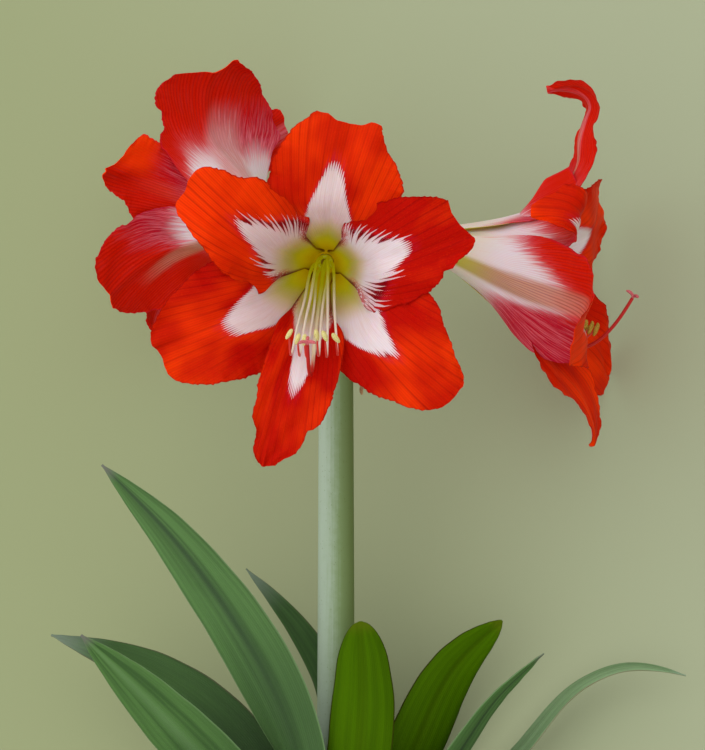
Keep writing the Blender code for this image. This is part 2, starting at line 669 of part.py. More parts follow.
def main():
    """Build every piece of the plant."""
    plant = Plant()
    petal = principled("petal_red", (0.74, 0.03, 0.01), 0.45)
    filament = principled("filament_pale", (0.72, 0.66, 0.30), 0.5)
    style = principled("style_red", (0.62, 0.05, 0.04), 0.45)
    stalk = principled("stalk_green", (0.20, 0.30, 0.09), 0.5)
    scape = principled("scape_green", (0.33, 0.42, 0.26), 0.55)
    leaf = principled("leaf_green", (0.07, 0.19, 0.06), 0.4)
    papery = principled("papery_tan", (0.42, 0.30, 0.16), 0.8)
    build_scape(plant, scape)
    build_sleeve(plant, papery)
    for blade in LEAVES:
        build_leaf(plant, blade, leaf)
    for bloom in (FRONT, RIGHT, LEFT):
        build_pedicel(plant, bloom, stalk)
        build_perianth(plant, bloom, petal)
        build_stamens(plant, bloom, filament)
        build_style(plant, bloom, style)
    build_bracts(plant, papery)


main()
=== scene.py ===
"""Looks of the flowering amaryllis stem: petals with their star, leaves, stalk, stamens and the cut neck.

The plant's shapes are worked out as it grows: X to the right, Z up the stalk and -Y toward the side that the
front bloom faces, in millimetres. One matrix then lays every piece down in the frame, in metres.
"""
from __future__ import annotations

import logging
import math
from collections.abc import Callable, Mapping, Sequence
from dataclasses import dataclass, field
from enum import Enum
from typing import Any, Union

import bpy
import numpy as np
from mathutils import Matrix, Vector

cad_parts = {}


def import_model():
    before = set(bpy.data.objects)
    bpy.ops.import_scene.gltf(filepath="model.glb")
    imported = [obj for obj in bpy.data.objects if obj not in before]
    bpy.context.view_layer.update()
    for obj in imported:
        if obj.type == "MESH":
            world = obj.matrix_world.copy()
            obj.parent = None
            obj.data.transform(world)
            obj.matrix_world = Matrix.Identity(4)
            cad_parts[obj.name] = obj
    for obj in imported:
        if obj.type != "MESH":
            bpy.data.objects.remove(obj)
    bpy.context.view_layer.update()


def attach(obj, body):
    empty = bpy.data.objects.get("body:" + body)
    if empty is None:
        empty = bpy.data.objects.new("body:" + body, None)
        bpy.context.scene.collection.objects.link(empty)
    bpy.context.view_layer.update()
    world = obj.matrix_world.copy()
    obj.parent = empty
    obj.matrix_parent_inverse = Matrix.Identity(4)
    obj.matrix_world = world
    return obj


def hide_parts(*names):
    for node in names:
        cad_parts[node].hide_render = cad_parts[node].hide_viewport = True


LOG = logging.getLogger("amaryllis")
MM = 0.001
TURN = 2 * math.pi
UP = np.array([0.0, 0.0, 1.0])
BODY = "root"
BLACK = (0.0, 0.0, 0.0)
Triple = tuple[float, float, float]
Curve = tuple[tuple[float, float], ...]


def unit(vectors: np.ndarray) -> np.ndarray:
    """Vectors scaled to length one."""
    vectors = np.asarray(vectors, float)
    return vectors / np.maximum(np.linalg.norm(vectors, axis=-1, keepdims=True), 1e-12)


def ease(start: float, end: float, t: np.ndarray) -> np.ndarray:
    """Smooth step from 0 at start to 1 at end."""
    x = np.clip((np.asarray(t, float) - start) / (end - start), 0.0, 1.0)
    return x * x * (3.0 - 2.0 * x)


def around(count: int) -> np.ndarray:
    """Angles spread evenly over one turn, in radians."""
    return np.linspace(0.0, TURN, count, endpoint=False)


def crowded(count: int, pull: float) -> np.ndarray:
    """Shares from -1 to 1 that lie closer together toward both ends, the more the larger the pull."""
    return np.sin(np.linspace(-1.0, 1.0, count) * pull) / math.sin(pull)


def rings_of(radii: np.ndarray, heights: np.ndarray, angle: np.ndarray) -> np.ndarray:
    """Rings of points round the upright axis; radii and heights are rings by points, or rings by one."""
    return np.stack([radii * np.cos(angle), radii * np.sin(angle), heights + np.zeros_like(angle)], axis=-1)


def curve(*numbers: float, scale: float = 100.0) -> Curve:
    """Places in percent, each with its value; the value is in percent too unless the scale says otherwise."""
    return tuple((place / 100.0, value / scale) for place, value in zip(numbers[::2], numbers[1::2]))


def through(knots: Sequence[float], values: Sequence[float], t: np.ndarray) -> np.ndarray:
    """Monotone curve through the values, so that an angle never swings past them."""
    knots, values = np.asarray(knots, float), np.asarray(values, float)
    steps = np.diff(knots)
    slopes = np.diff(values) / steps
    tangents = np.empty(len(knots))
    tangents[0], tangents[-1] = slopes[0], slopes[-1]
    for i in range(1, len(knots) - 1):
        before, after = slopes[i - 1], slopes[i]
        tangents[i] = 2.0 * before * after / (before + after) if before * after > 0.0 else 0.0
    i = np.clip(np.searchsorted(knots, t, side="right") - 1, 0, len(steps) - 1)
    x = (t - knots[i]) / steps[i]
    return ((1 + 2 * x) * (1 - x) ** 2 * values[i] + x * (1 - x) ** 2 * steps[i] * tangents[i]
            + x * x * (3 - 2 * x) * values[i + 1] + x * x * (x - 1) * steps[i] * tangents[i + 1])


def spline(points: Sequence[Sequence[float]], count: int, heading: np.ndarray | None = None
           ) -> tuple[np.ndarray, float]:
    """Evenly spaced points on the cubic spline through a few points.

    Args:
        points: The few points that the spline passes through.
        count: How many points to return.
        heading: The way the spline sets out. Without one its ends are free to straighten.

    Returns:
        The points and the spline's length.
    """
    points = np.asarray(points, float)
    knots = np.concatenate([[0.0], np.cumsum(np.linalg.norm(np.diff(points, axis=0), axis=1))])
    steps = np.diff(knots)
    size = len(points)
    matrix, right = np.eye(size), np.zeros((size, 3))
    for i in range(1, size - 1):
        matrix[i, i - 1:i + 2] = steps[i - 1], 2 * (steps[i - 1] + steps[i]), steps[i]
        right[i] = 6 * ((points[i + 1] - points[i]) / steps[i] - (points[i] - points[i - 1]) / steps[i - 1])
    if heading is not None:
        matrix[0, :2] = 2 * steps[0], steps[0]
        right[0] = 6 * ((points[1] - points[0]) / steps[0] - heading)
    bends = np.linalg.solve(matrix, right)
    where = np.linspace(0.0, knots[-1], 600)
    i = np.clip(np.searchsorted(knots, where, side="right") - 1, 0, size - 2)
    left, over, step = (knots[i + 1] - where)[:, None], (where - knots[i])[:, None], steps[i][:, None]
    fine = ((bends[i] * left ** 3 + bends[i + 1] * over ** 3) / (6 * step)
            + (points[i] / step - bends[i] * step / 6) * left
            + (points[i + 1] / step - bends[i + 1] * step / 6) * over)
    arc = np.concatenate([[0.0], np.cumsum(np.linalg.norm(np.diff(fine, axis=0), axis=1))])
    wanted = np.linspace(0.0, arc[-1], count)
    return np.stack([np.interp(wanted, arc, fine[:, k]) for k in range(3)], axis=-1), float(arc[-1])


def wander(x: np.ndarray, seed: int, pace: float, steps: int = 4) -> np.ndarray:
    """Smooth irregular waves along x between about -1 and 1.

    Args:
        x: Where the wave is wanted.
        seed: Which wave.
        pace: Rough number of waves while x grows by one.
        steps: How many waves of growing pace are laid over each other.
    """
    rng = np.random.default_rng(seed)
    total = np.zeros_like(np.asarray(x, float))
    size = 0.0
    for step in range(steps):
        share = 0.62 ** step
        rate = pace * 1.73 ** step * rng.uniform(0.8, 1.25)
        total = total + share * np.sin(TURN * (rate * x + rng.uniform()))
        size += share
    return total / size * 1.6


@dataclass(frozen=True)
class LyingPlant:
    """How the plant lies, and the size and place of its neck."""
    pitch: float = 14.089
    roll: float = 15.266
    rest_cut: float = 1.5
    plan_middle: tuple[float, float] = (10.2789, 246.6831)
    cut_z: float = -335.0
    scape_top: float = 50.0
    scape_radius_cut: float = 11.2
    scape_radius_top: float = 9.3
    head_radius: float = 10.4
    head_height: float = 9.0
    neck_height: float = 25.0
    base_thickness: float = 2.5
    nest_gap: float = 0.5
    sleeve_thickness: float = 2.5
    widest_base: float = 14.0
    base_wrap: float = 0.33 * math.pi

    def nest_radius(self, level: float) -> float:
        """Middle radius of the leaf bases of one level, counted from the scape outward."""
        return self.scape_radius_cut + (level - 0.5) * self.base_thickness + level * self.nest_gap

    def base_half(self, level: float) -> float:
        """Half width of a leaf base of one level."""
        return min(self.widest_base, self.base_wrap * self.nest_radius(level))

    def sleeve_radii(self) -> tuple[float, float]:
        """Inner and outer radius of the sleeve round the leaf bases."""
        inner = self.nest_radius(4) + self.base_thickness / 2 + self.nest_gap
        return inner, inner + self.sleeve_thickness

    def matrix(self) -> Matrix:
        """World matrix that lays the grown plant down on its rest spot, for lengths in metres."""
        turn = (Matrix.Rotation(math.radians(self.pitch), 4, "X") @ Matrix.Rotation(math.radians(self.roll), 4, "Y")
                @ Matrix.Rotation(-math.pi / 2, 4, "X"))
        floor_normal = turn.transposed().to_3x3() @ Vector((0, 0, 1))
        sideways = Vector((floor_normal.x, floor_normal.y, 0)).normalized()
        low = turn @ (Vector((0, 0, self.cut_z)) - self.sleeve_radii()[1] * sideways)
        origin = Vector((low.x + self.plan_middle[0], low.y + self.plan_middle[1], low.z + self.rest_cut))
        return Matrix.Translation(-origin * MM) @ turn

    def place(self, points: np.ndarray) -> np.ndarray:
        """Grown points in millimetres as world points in metres."""
        matrix = np.array(self.matrix())
        return np.asarray(points, float) * MM @ matrix[:3, :3].T + matrix[:3, 3]


PLANT = LyingPlant()


class Cells(Enum):
    """What a pattern of irregular cells measures."""
    EDGE = "DISTANCE_TO_EDGE"
    MIDDLE = "F1"


def srgb(red: float, green: float, blue: float) -> Triple:
    """A colour given as it looks on a screen, 0 to 255, as linear light."""
    def linear(part: float) -> float:
        """One part of the colour as linear light."""
        part = part / 255.0
        return part / 12.92 if part <= 0.04045 else ((part + 0.055) / 1.055) ** 2.4
    return linear(red), linear(green), linear(blue)


class Value:
    """One output socket of a node tree that takes part in Python arithmetic."""

    def __init__(self, tree: NodeTree, socket: bpy.types.NodeSocket) -> None:
        """Wrap a socket of a tree."""
        self.tree = tree
        self.socket = socket

    def __add__(self, other: Operand) -> Value:
        """Sum."""
        return self.tree.math("ADD", self, other)

    __radd__ = __add__

    def __sub__(self, other: Operand) -> Value:
        """Difference."""
        return self.tree.math("SUBTRACT", self, other)

    def __rsub__(self, other: Operand) -> Value:
        """Difference from a plain number."""
        return self.tree.math("SUBTRACT", other, self)

    def __mul__(self, other: Operand) -> Value:
        """Product."""
        return self.tree.math("MULTIPLY", self, other)

    __rmul__ = __mul__

    def __truediv__(self, other: Operand) -> Value:
        """Quotient."""
        return self.tree.math("DIVIDE", self, other)

    def __pow__(self, other: Operand) -> Value:
        """Power."""
        return self.tree.math("POWER", self, other)


Operand = Union[Value, float]
Input = Union[Value, float, int, str, bool, Sequence[float], bpy.types.Material, None]


def tissue(gloss: float, weight: float, colours: Triple, depth: float) -> dict[str, Input]:
    """Constants of living tissue: its gloss, and how far light of the three colours spreads in it, in metres."""
    return {"Specular IOR Level": gloss, "Subsurface Weight": weight, "Subsurface Radius": colours,
            "Subsurface Scale": depth}


class NodeTree:
    """A node tree that is written as Python expressions."""

    def __init__(self, tree: bpy.types.NodeTree) -> None:
        """Wrap a tree."""
        self.tree = tree

    def feed(self, socket: bpy.types.NodeSocket, value: Input) -> None:
        """Link a value to a socket, or set the socket to it."""
        if isinstance(value, Value):
            self.tree.links.new(value.socket, socket)
        elif value is not None:
            if socket.type == "RGBA" and len(value) == 3:
                value = (*value, 1.0)
            socket.default_value = value

    def node(self, kind: str, settings: Mapping[str, Any] | None = None,
             values: Mapping[Union[str, int], Input] | None = None) -> bpy.types.Node:
        """Add one node.

        Args:
            kind: The node's type.
            settings: What is set on the node itself, before its sockets.
            values: Values or links of its sockets, by name or number.

        Returns:
            The node.
        """
        node = self.tree.nodes.new(kind)
        for name, setting in (settings or {}).items():
            setattr(node, name, setting)
        for name, value in (values or {}).items():
            self.feed(node.inputs[name], value)
        return node

    def out(self, node: bpy.types.Node, output: Union[str, int] = 0) -> Value:
        """An output of a node as a value."""
        return Value(self, node.outputs[output])

    def math(self, operation: str, first: Operand, second: Operand = 0.0, clamp: bool = False) -> Value:
        """A Math node on one or two values."""
        return self.out(self.node("ShaderNodeMath", {"operation": operation, "use_clamp": clamp},
                                  {0: first, 1: second}))

    def clamp(self, value: Operand) -> Value:
        """The value kept between 0 and 1."""
        return self.math("ADD", value, 0.0, clamp=True)

    def smooth(self, value: Operand, low: float, high: float) -> Value:
        """Smooth step from 0 where the value is low to 1 where it is high; low may be the larger one."""
        return self.out(self.node("ShaderNodeMapRange", {"interpolation_type": "SMOOTHSTEP"},
                                  {0: value, 1: low, 2: high}))

    def dot(self, first: Input, second: Input) -> Value:
        """Dot product of two vectors."""
        node = self.node("ShaderNodeVectorMath", {"operation": "DOT_PRODUCT"}, {0: first, 1: second})
        return self.out(node, "Value")

    def vector(self, x: Operand = 0.0, y: Operand = 0.0, z: Operand = 0.0) -> Value:
        """A vector of three values."""
        return self.out(self.node("ShaderNodeCombineXYZ", None, {0: x, 1: y, 2: z}))


class ShaderTree(NodeTree):
    """The node tree of one material, with its Principled shader."""

    def __init__(self, name: str) -> None:
        """Make a new material with an empty tree but for the shader and the output."""
        self.material = bpy.data.materials.new(name)
        self.material.use_nodes = True
        super().__init__(self.material.node_tree)
        self.shader = self.tree.nodes["Principled BSDF"]

    def attribute(self, name: str) -> Value:
        """A number that the mesh carries at each vertex."""
        node = self.node("ShaderNodeAttribute", {"attribute_name": name})
        return self.out(node, "Fac")

    def place(self) -> Value:
        """Object coordinates, in metres."""
        return self.out(self.node("ShaderNodeTexCoord"), "Object")

    def tube(self, size: float, along: Value) -> Value:
        """A vector that goes round a tube of this size without a seam, and along it."""
        turn = self.attribute("round") * TURN
        return self.vector(self.math("SINE", turn) * size, self.math("COSINE", turn) * size, along)

    def noise(self, vector: Value, detail: float = 2.0, rough: float = 0.5, scale: float = 1.0) -> Value:
        """Soft noise, about 0.5 on average."""
        return self.out(self.node("ShaderNodeTexNoise", None,
                                  {"Vector": vector, "Scale": scale, "Detail": detail, "Roughness": rough}))

    def cells(self, vector: Value, scale: float, measure: Cells = Cells.EDGE) -> Value:
        """Distance in a pattern of irregular cells."""
        return self.out(self.node("ShaderNodeTexVoronoi", {"feature": measure.value},
                                  {"Vector": vector, "Scale": scale}), "Distance")

    def chance(self, value: Value) -> Value:
        """A fixed chance number from 0 to 1 for each whole number."""
        return self.out(self.node("ShaderNodeTexWhiteNoise", {"noise_dimensions": "1D"}, {"W": value}))

    def mix(self, factor: Operand, first: Input, second: Input) -> Value:
        """Two colours mixed: the first where the factor is 0."""
        return self.out(self.node("ShaderNodeMix", {"data_type": "RGBA"}, {0: factor, 6: first, 7: second}), 2)

    def bump(self, height: Value, strength: float, distance: float) -> Value:
        """A normal tilted by a height; distance is in metres."""
        return self.out(self.node("ShaderNodeBump", None,
                                  {"Strength": strength, "Distance": distance, "Height": height}))

    def glow(self, colour: Value) -> None:
        """Paint a glow: emission that stands in for light through thin tissue and lifts the shade there."""
        self.feed(self.shader.inputs["Emission Color"], colour)
        self.feed(self.shader.inputs["Emission Strength"], 1.0)
        self.material.cycles.emission_sampling = "NONE"

    def finish(self, colour: Input, roughness: Operand, normal: Value | None = None,
               constants: Mapping[str, Input] | None = None) -> bpy.types.Material:
        """Feed the shader.

        Args:
            colour: Base colour.
            roughness: Roughness.
            normal: Bumped normal.
            constants: Values that are the same all over, by the shader's own socket names.

        Returns:
            The material.
        """
        self.feed(self.shader.inputs["Base Color"], colour)
        self.feed(self.shader.inputs["Roughness"], roughness)
        self.feed(self.shader.inputs["Normal"], normal)
        for name, value in (constants or {}).items():
            self.feed(self.shader.inputs[name], value)
        return self.material


class GeometryTree(NodeTree):
    """A Geometry Nodes tree with named inputs."""

    def __init__(self, name: str, inputs: Mapping[str, str]) -> None:
        """Make an empty tree.

        Args:
            name: The tree's name.
            inputs: Names of its inputs besides the geometry, and their socket types.
        """
        group = bpy.data.node_groups.new(name, "GeometryNodeTree")
        super().__init__(group)
        group.interface.new_socket(name="Geometry", in_out="INPUT", socket_type="NodeSocketGeometry")
        self.identifiers = {}
        for label, kind in inputs.items():
            socket = group.interface.new_socket(name=label, in_out="INPUT", socket_type=kind)
            self.identifiers[label] = socket.identifier
        group.interface.new_socket(name="Geometry", in_out="OUTPUT", socket_type="NodeSocketGeometry")
        self.source = self.node("NodeGroupInput")

    def given(self, label: str) -> Value:
        """One of the tree's inputs."""
        return self.out(self.source, label)

    def finish(self, geometry: Value, material: Value) -> None:
        """End the tree: instances made real, then the material set."""
        real = self.out(self.node("GeometryNodeRealizeInstances", None, {"Geometry": geometry}))
        dressed = self.out(self.node("GeometryNodeSetMaterial", None, {"Geometry": real, "Material": material}))
        self.node("NodeGroupOutput", None, {"Geometry": dressed})

    def run(self, piece: bpy.types.Object, values: Mapping[str, Any]) -> bpy.types.Mesh:
        """The plain mesh that the tree makes of a piece.

        Args:
            piece: An object with the geometry that goes in; it is removed.
            values: The tree's inputs by their names.

        Returns:
            The mesh.
        """
        modifier = piece.modifiers.new(self.tree.name, "NODES")
        modifier.node_group = self.tree
        for label, value in values.items():
            modifier[self.identifiers[label]] = value
        bpy.context.view_layer.update()
        mesh = bpy.data.meshes.new_from_object(piece.evaluated_get(bpy.context.evaluated_depsgraph_get()))
        bpy.data.objects.remove(piece)
        return mesh


@dataclass
class MeshParts:
    """Vertices, faces, per-vertex numbers and material numbers that grow into one mesh."""
    vertices: list[np.ndarray] = field(default_factory=list)
    faces: list[np.ndarray] = field(default_factory=list)
    slots: list[np.ndarray] = field(default_factory=list)
    numbers: dict[str, list[np.ndarray]] = field(default_factory=dict)
    count: int = 0

    def add(self, vertices: np.ndarray, faces: np.ndarray, slots: np.ndarray | int,
            numbers: Mapping[str, np.ndarray | float]) -> None:
        """Add one closed part.

        Args:
            vertices: Places as grown, in millimetres.
            faces: Quads, counted from this part's first vertex; a triangle repeats its last corner.
            slots: Material number of each face, or one for all.
            numbers: Named number of each vertex, or one for all.
        """
        for name in set(self.numbers) | set(numbers):
            held = self.numbers.setdefault(name, [np.zeros(self.count)] if self.count else [])
            value = numbers.get(name, 0.0)
            held.append(np.broadcast_to(np.asarray(value, float), (len(vertices),)).copy())
        self.vertices.append(np.asarray(vertices, float))
        self.faces.append(np.asarray(faces, int) + self.count)
        self.slots.append(np.broadcast_to(np.asarray(slots, int), (len(faces),)).copy())
        self.count += len(vertices)

    def add_sheet(self, shape: tuple[int, int], middle: np.ndarray, thickness: np.ndarray, inward: np.ndarray,
                  numbers: Mapping[str, np.ndarray], slots: tuple[int, int] = (0, 1)) -> None:
        """Add a closed sheet round a grid of middle points.

        Args:
            shape: Rows and columns; what follows is listed row by row.
            middle: The middle points.
            thickness: The sheet's thickness at each of them.
            inward: A direction that tells the sheet's front side, which faces that way on the whole.
            numbers: Named numbers; a number called front is added, 1 on the front side.
            slots: Material numbers of the front and the back.
        """
        rows, columns = shape
        middle, inward, thickness = (part.reshape(rows, columns, -1) for part in (middle, inward, thickness))
        along = np.gradient(middle, axis=0)
        across = np.gradient(middle, axis=1)
        normal = unit(np.cross(across, along))
        index = np.arange(rows * columns).reshape(rows, columns)
        quads = np.stack([index[:-1, :-1], index[:-1, 1:], index[1:, 1:], index[1:, :-1]], axis=-1).reshape(-1, 4)
        half = thickness / 2
        first = (middle + normal * half).reshape(-1, 3)
        second = (middle - normal * half).reshape(-1, 3)
        size = rows * columns
        loop = np.concatenate([index[0, :-1], index[:-1, -1], index[-1, :0:-1], index[:0:-1, 0]])
        after = np.roll(loop, -1)
        rim = np.stack([after, loop, loop + size, after + size], axis=-1)
        first_is_front = float((normal * inward).sum(axis=-1).mean()) > 0.0
        front, back = slots
        near, far = (front, back) if first_is_front else (back, front)
        faces = np.concatenate([quads, quads[:, ::-1] + size, rim])
        slot = np.concatenate([np.full(len(quads), near), np.full(len(quads), far), np.full(len(rim), front)])
        doubled = {name: np.tile(value, 2) for name, value in numbers.items()}
        doubled["front"] = np.repeat([float(first_is_front), float(not first_is_front)], size)
        self.add(np.concatenate([first, second]), faces, slot, doubled)

    def add_turned(self, rings: np.ndarray, slots: Sequence[int] | int, numbers: Mapping[str, np.ndarray | float],
                   closed: bool = False) -> None:
        """Add a surface through rings of points.

        Args:
            rings: Rings by points by 3. Faces point outwards where the rings turn counter-clockwise seen from
                the way that they go.
            slots: Material number of each band between two rings, or one for all.
            numbers: Named numbers that spread over rings by points.
            closed: Whether the last ring joins the first one; otherwise both ends get caps.
        """
        count, sides = rings.shape[:2]
        index = np.arange(count * sides).reshape(count, sides)
        lower = index if closed else index[:-1]
        upper = np.roll(index, -1, axis=0) if closed else index[1:]
        quads = np.stack([lower, np.roll(lower, -1, axis=1), np.roll(upper, -1, axis=1), upper], axis=-1)
        bands = len(quads)
        slot = np.repeat(np.broadcast_to(np.asarray(slots, int), (bands,)), sides)
        faces = quads.reshape(-1, 4)
        vertices = rings.reshape(-1, 3)
        flat = {name: np.broadcast_to(value, (count, sides)).reshape(-1) for name, value in numbers.items()}
        if not closed:
            start, end = len(vertices), len(vertices) + 1
            vertices = np.concatenate([vertices, rings[:1].mean(axis=1), rings[-1:].mean(axis=1)])
            first, last = index[0], index[-1]
            bottom = np.stack([np.roll(first, -1), first, np.full(sides, start), np.full(sides, start)], axis=-1)
            top = np.stack([last, np.roll(last, -1), np.full(sides, end), np.full(sides, end)], axis=-1)
            faces = np.concatenate([faces, bottom, top])
            ends = np.asarray(slots, int).reshape(-1)
            slot = np.concatenate([slot, np.full(sides, ends[0]), np.full(sides, ends[-1])])
            flat = {name: np.concatenate([value, [value[:sides].mean()], [value[-sides:].mean()]])
                    for name, value in flat.items()}
        self.add(vertices, faces, slot, flat)

    def add_tube(self, points: np.ndarray, radii: np.ndarray, sides: int, slot: int,
                 numbers: Mapping[str, np.ndarray], shape: Callable[[np.ndarray], np.ndarray] | None = None) -> None:
        """Add a closed tube along a line of points.

        Args:
            points: The line.
            radii: Radius at each point.
            sides: Points round the tube.
            slot: Material number.
            numbers: Named numbers at each point of the line.
            shape: Factor of the radius for each angle round the tube, in radians.
        """
        heading = unit(np.gradient(points, axis=0))
        start = np.cross(heading[0], [0.31, 0.77, 0.55])
        beside = [unit(start)]
        for way in heading[1:]:
            beside.append(unit(beside[-1] - beside[-1].dot(way) * way))
        beside = np.array(beside)
        over = np.cross(heading, beside)
        angle = around(sides)
        factor = shape(angle) if shape else np.ones(sides)
        ring = ((np.cos(angle) * factor)[:, None] * beside[:, None]
                + (np.sin(angle) * factor)[:, None] * over[:, None])
        spread = {name: value[:, None] for name, value in numbers.items()}
        self.add_turned(points[:, None] + ring * radii[:, None, None], slot, {**spread, "round": angle / TURN})

    def object(self, name: str, materials: Sequence[bpy.types.Material], sharp: float = 60.0) -> bpy.types.Object:
        """The parts as one object, laid down in the frame.

        Args:
            name: The object's name.
            materials: Its materials, by number.
            sharp: Edges that turn more than this many degrees stay sharp.

        Returns:
            The object, which sits at the origin.
        """
        mesh = bpy.data.meshes.new(name)
        faces = np.concatenate(self.faces)
        triangles = faces[:, 2] == faces[:, 3]
        places = PLANT.place(np.concatenate(self.vertices))
        listed = [face[:3] if three else face for face, three in zip(faces.tolist(), triangles)]
        mesh.from_pydata(places.tolist(), [], listed)
        for label, value in self.numbers.items():
            attribute = mesh.attributes.new(label, "FLOAT", "POINT")
            attribute.data.foreach_set("value", np.concatenate(value).astype(np.float32))
        for material in materials:
            mesh.materials.append(material)
        mesh.polygons.foreach_set("material_index", np.concatenate(self.slots).astype(np.int32))
        mesh.update()
        mesh.shade_smooth()
        mesh.set_sharp_from_angle(angle=math.radians(sharp))
        return linked(name, mesh)


class GrainScatter(GeometryTree):
    """Small round grains strewn over a surface, or set on single points."""
    seed = 7

    def __init__(self, name: str, strewn: bool) -> None:
        """Build the tree; strewn grains lie on the faces of the mesh, and others sit on its points."""
        super().__init__(name, {"Density": "NodeSocketFloat", "Radius": "NodeSocketFloat",
                                "Shape": "NodeSocketVector", "Tilt": "NodeSocketVector", "Seed": "NodeSocketInt",
                                "Material": "NodeSocketMaterial"})
        points = self.given("Geometry")
        if strewn:
            points = self.out(self.node("GeometryNodeDistributePointsOnFaces", None, {
                "Mesh": points, "Density": self.given("Density"), "Seed": self.given("Seed")}))
        grain = self.out(self.node("GeometryNodeMeshIcoSphere", None, {"Radius": self.given("Radius"),
                                                                       "Subdivisions": 1}))
        grain = self.out(self.node("GeometryNodeTransform", None, {"Geometry": grain, "Scale": self.given("Shape")}))
        size = self.out(self.node("FunctionNodeRandomValue", None, {2: 0.7, 3: 1.2, 8: self.given("Seed")}), 1)
        copies = self.out(self.node("GeometryNodeInstanceOnPoints", None, {
            "Points": points, "Instance": grain, "Rotation": self.given("Tilt"), "Scale": size}))
        self.finish(copies, self.given("Material"))

    def strew(self, name: str, base: bpy.types.Object, material: bpy.types.Material, radius: float,
              density: float = 0.0, shape: Triple = (1.0, 1.0, 1.0)) -> bpy.types.Object:
        """Make one piece of grains.

        Args:
            name: The piece's name.
            base: What carries the grains; it is removed.
            material: Their material.
            radius: Their radius in millimetres.
            density: Grains on a square millimetre.
            shape: How they are flattened, along the plant's own axes where it lies.

        Returns:
            The piece, at the origin.
        """
        tilt = tuple(PLANT.matrix().to_euler())
        mesh = self.run(base, {"Density": density / MM ** 2, "Radius": radius * MM, "Shape": shape, "Tilt": tilt,
                               "Seed": self.seed, "Material": material})
        return linked(name, mesh)


def linked(name: str, data: bpy.types.ID) -> bpy.types.Object:
    """A new object in the scene."""
    piece = bpy.data.objects.new(name, data)
    bpy.context.scene.collection.objects.link(piece)
    return piece


def settle(piece: bpy.types.Object, slot: str, *nodes: str) -> bpy.types.Object:
    """Make a piece ride with the plant, hide the nodes that it stands for and log its faces."""
    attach(piece, BODY)
    if nodes:
        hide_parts(*nodes)
    LOG.info("%s: %d faces", piece.name, len(piece.data.polygons))
    return piece


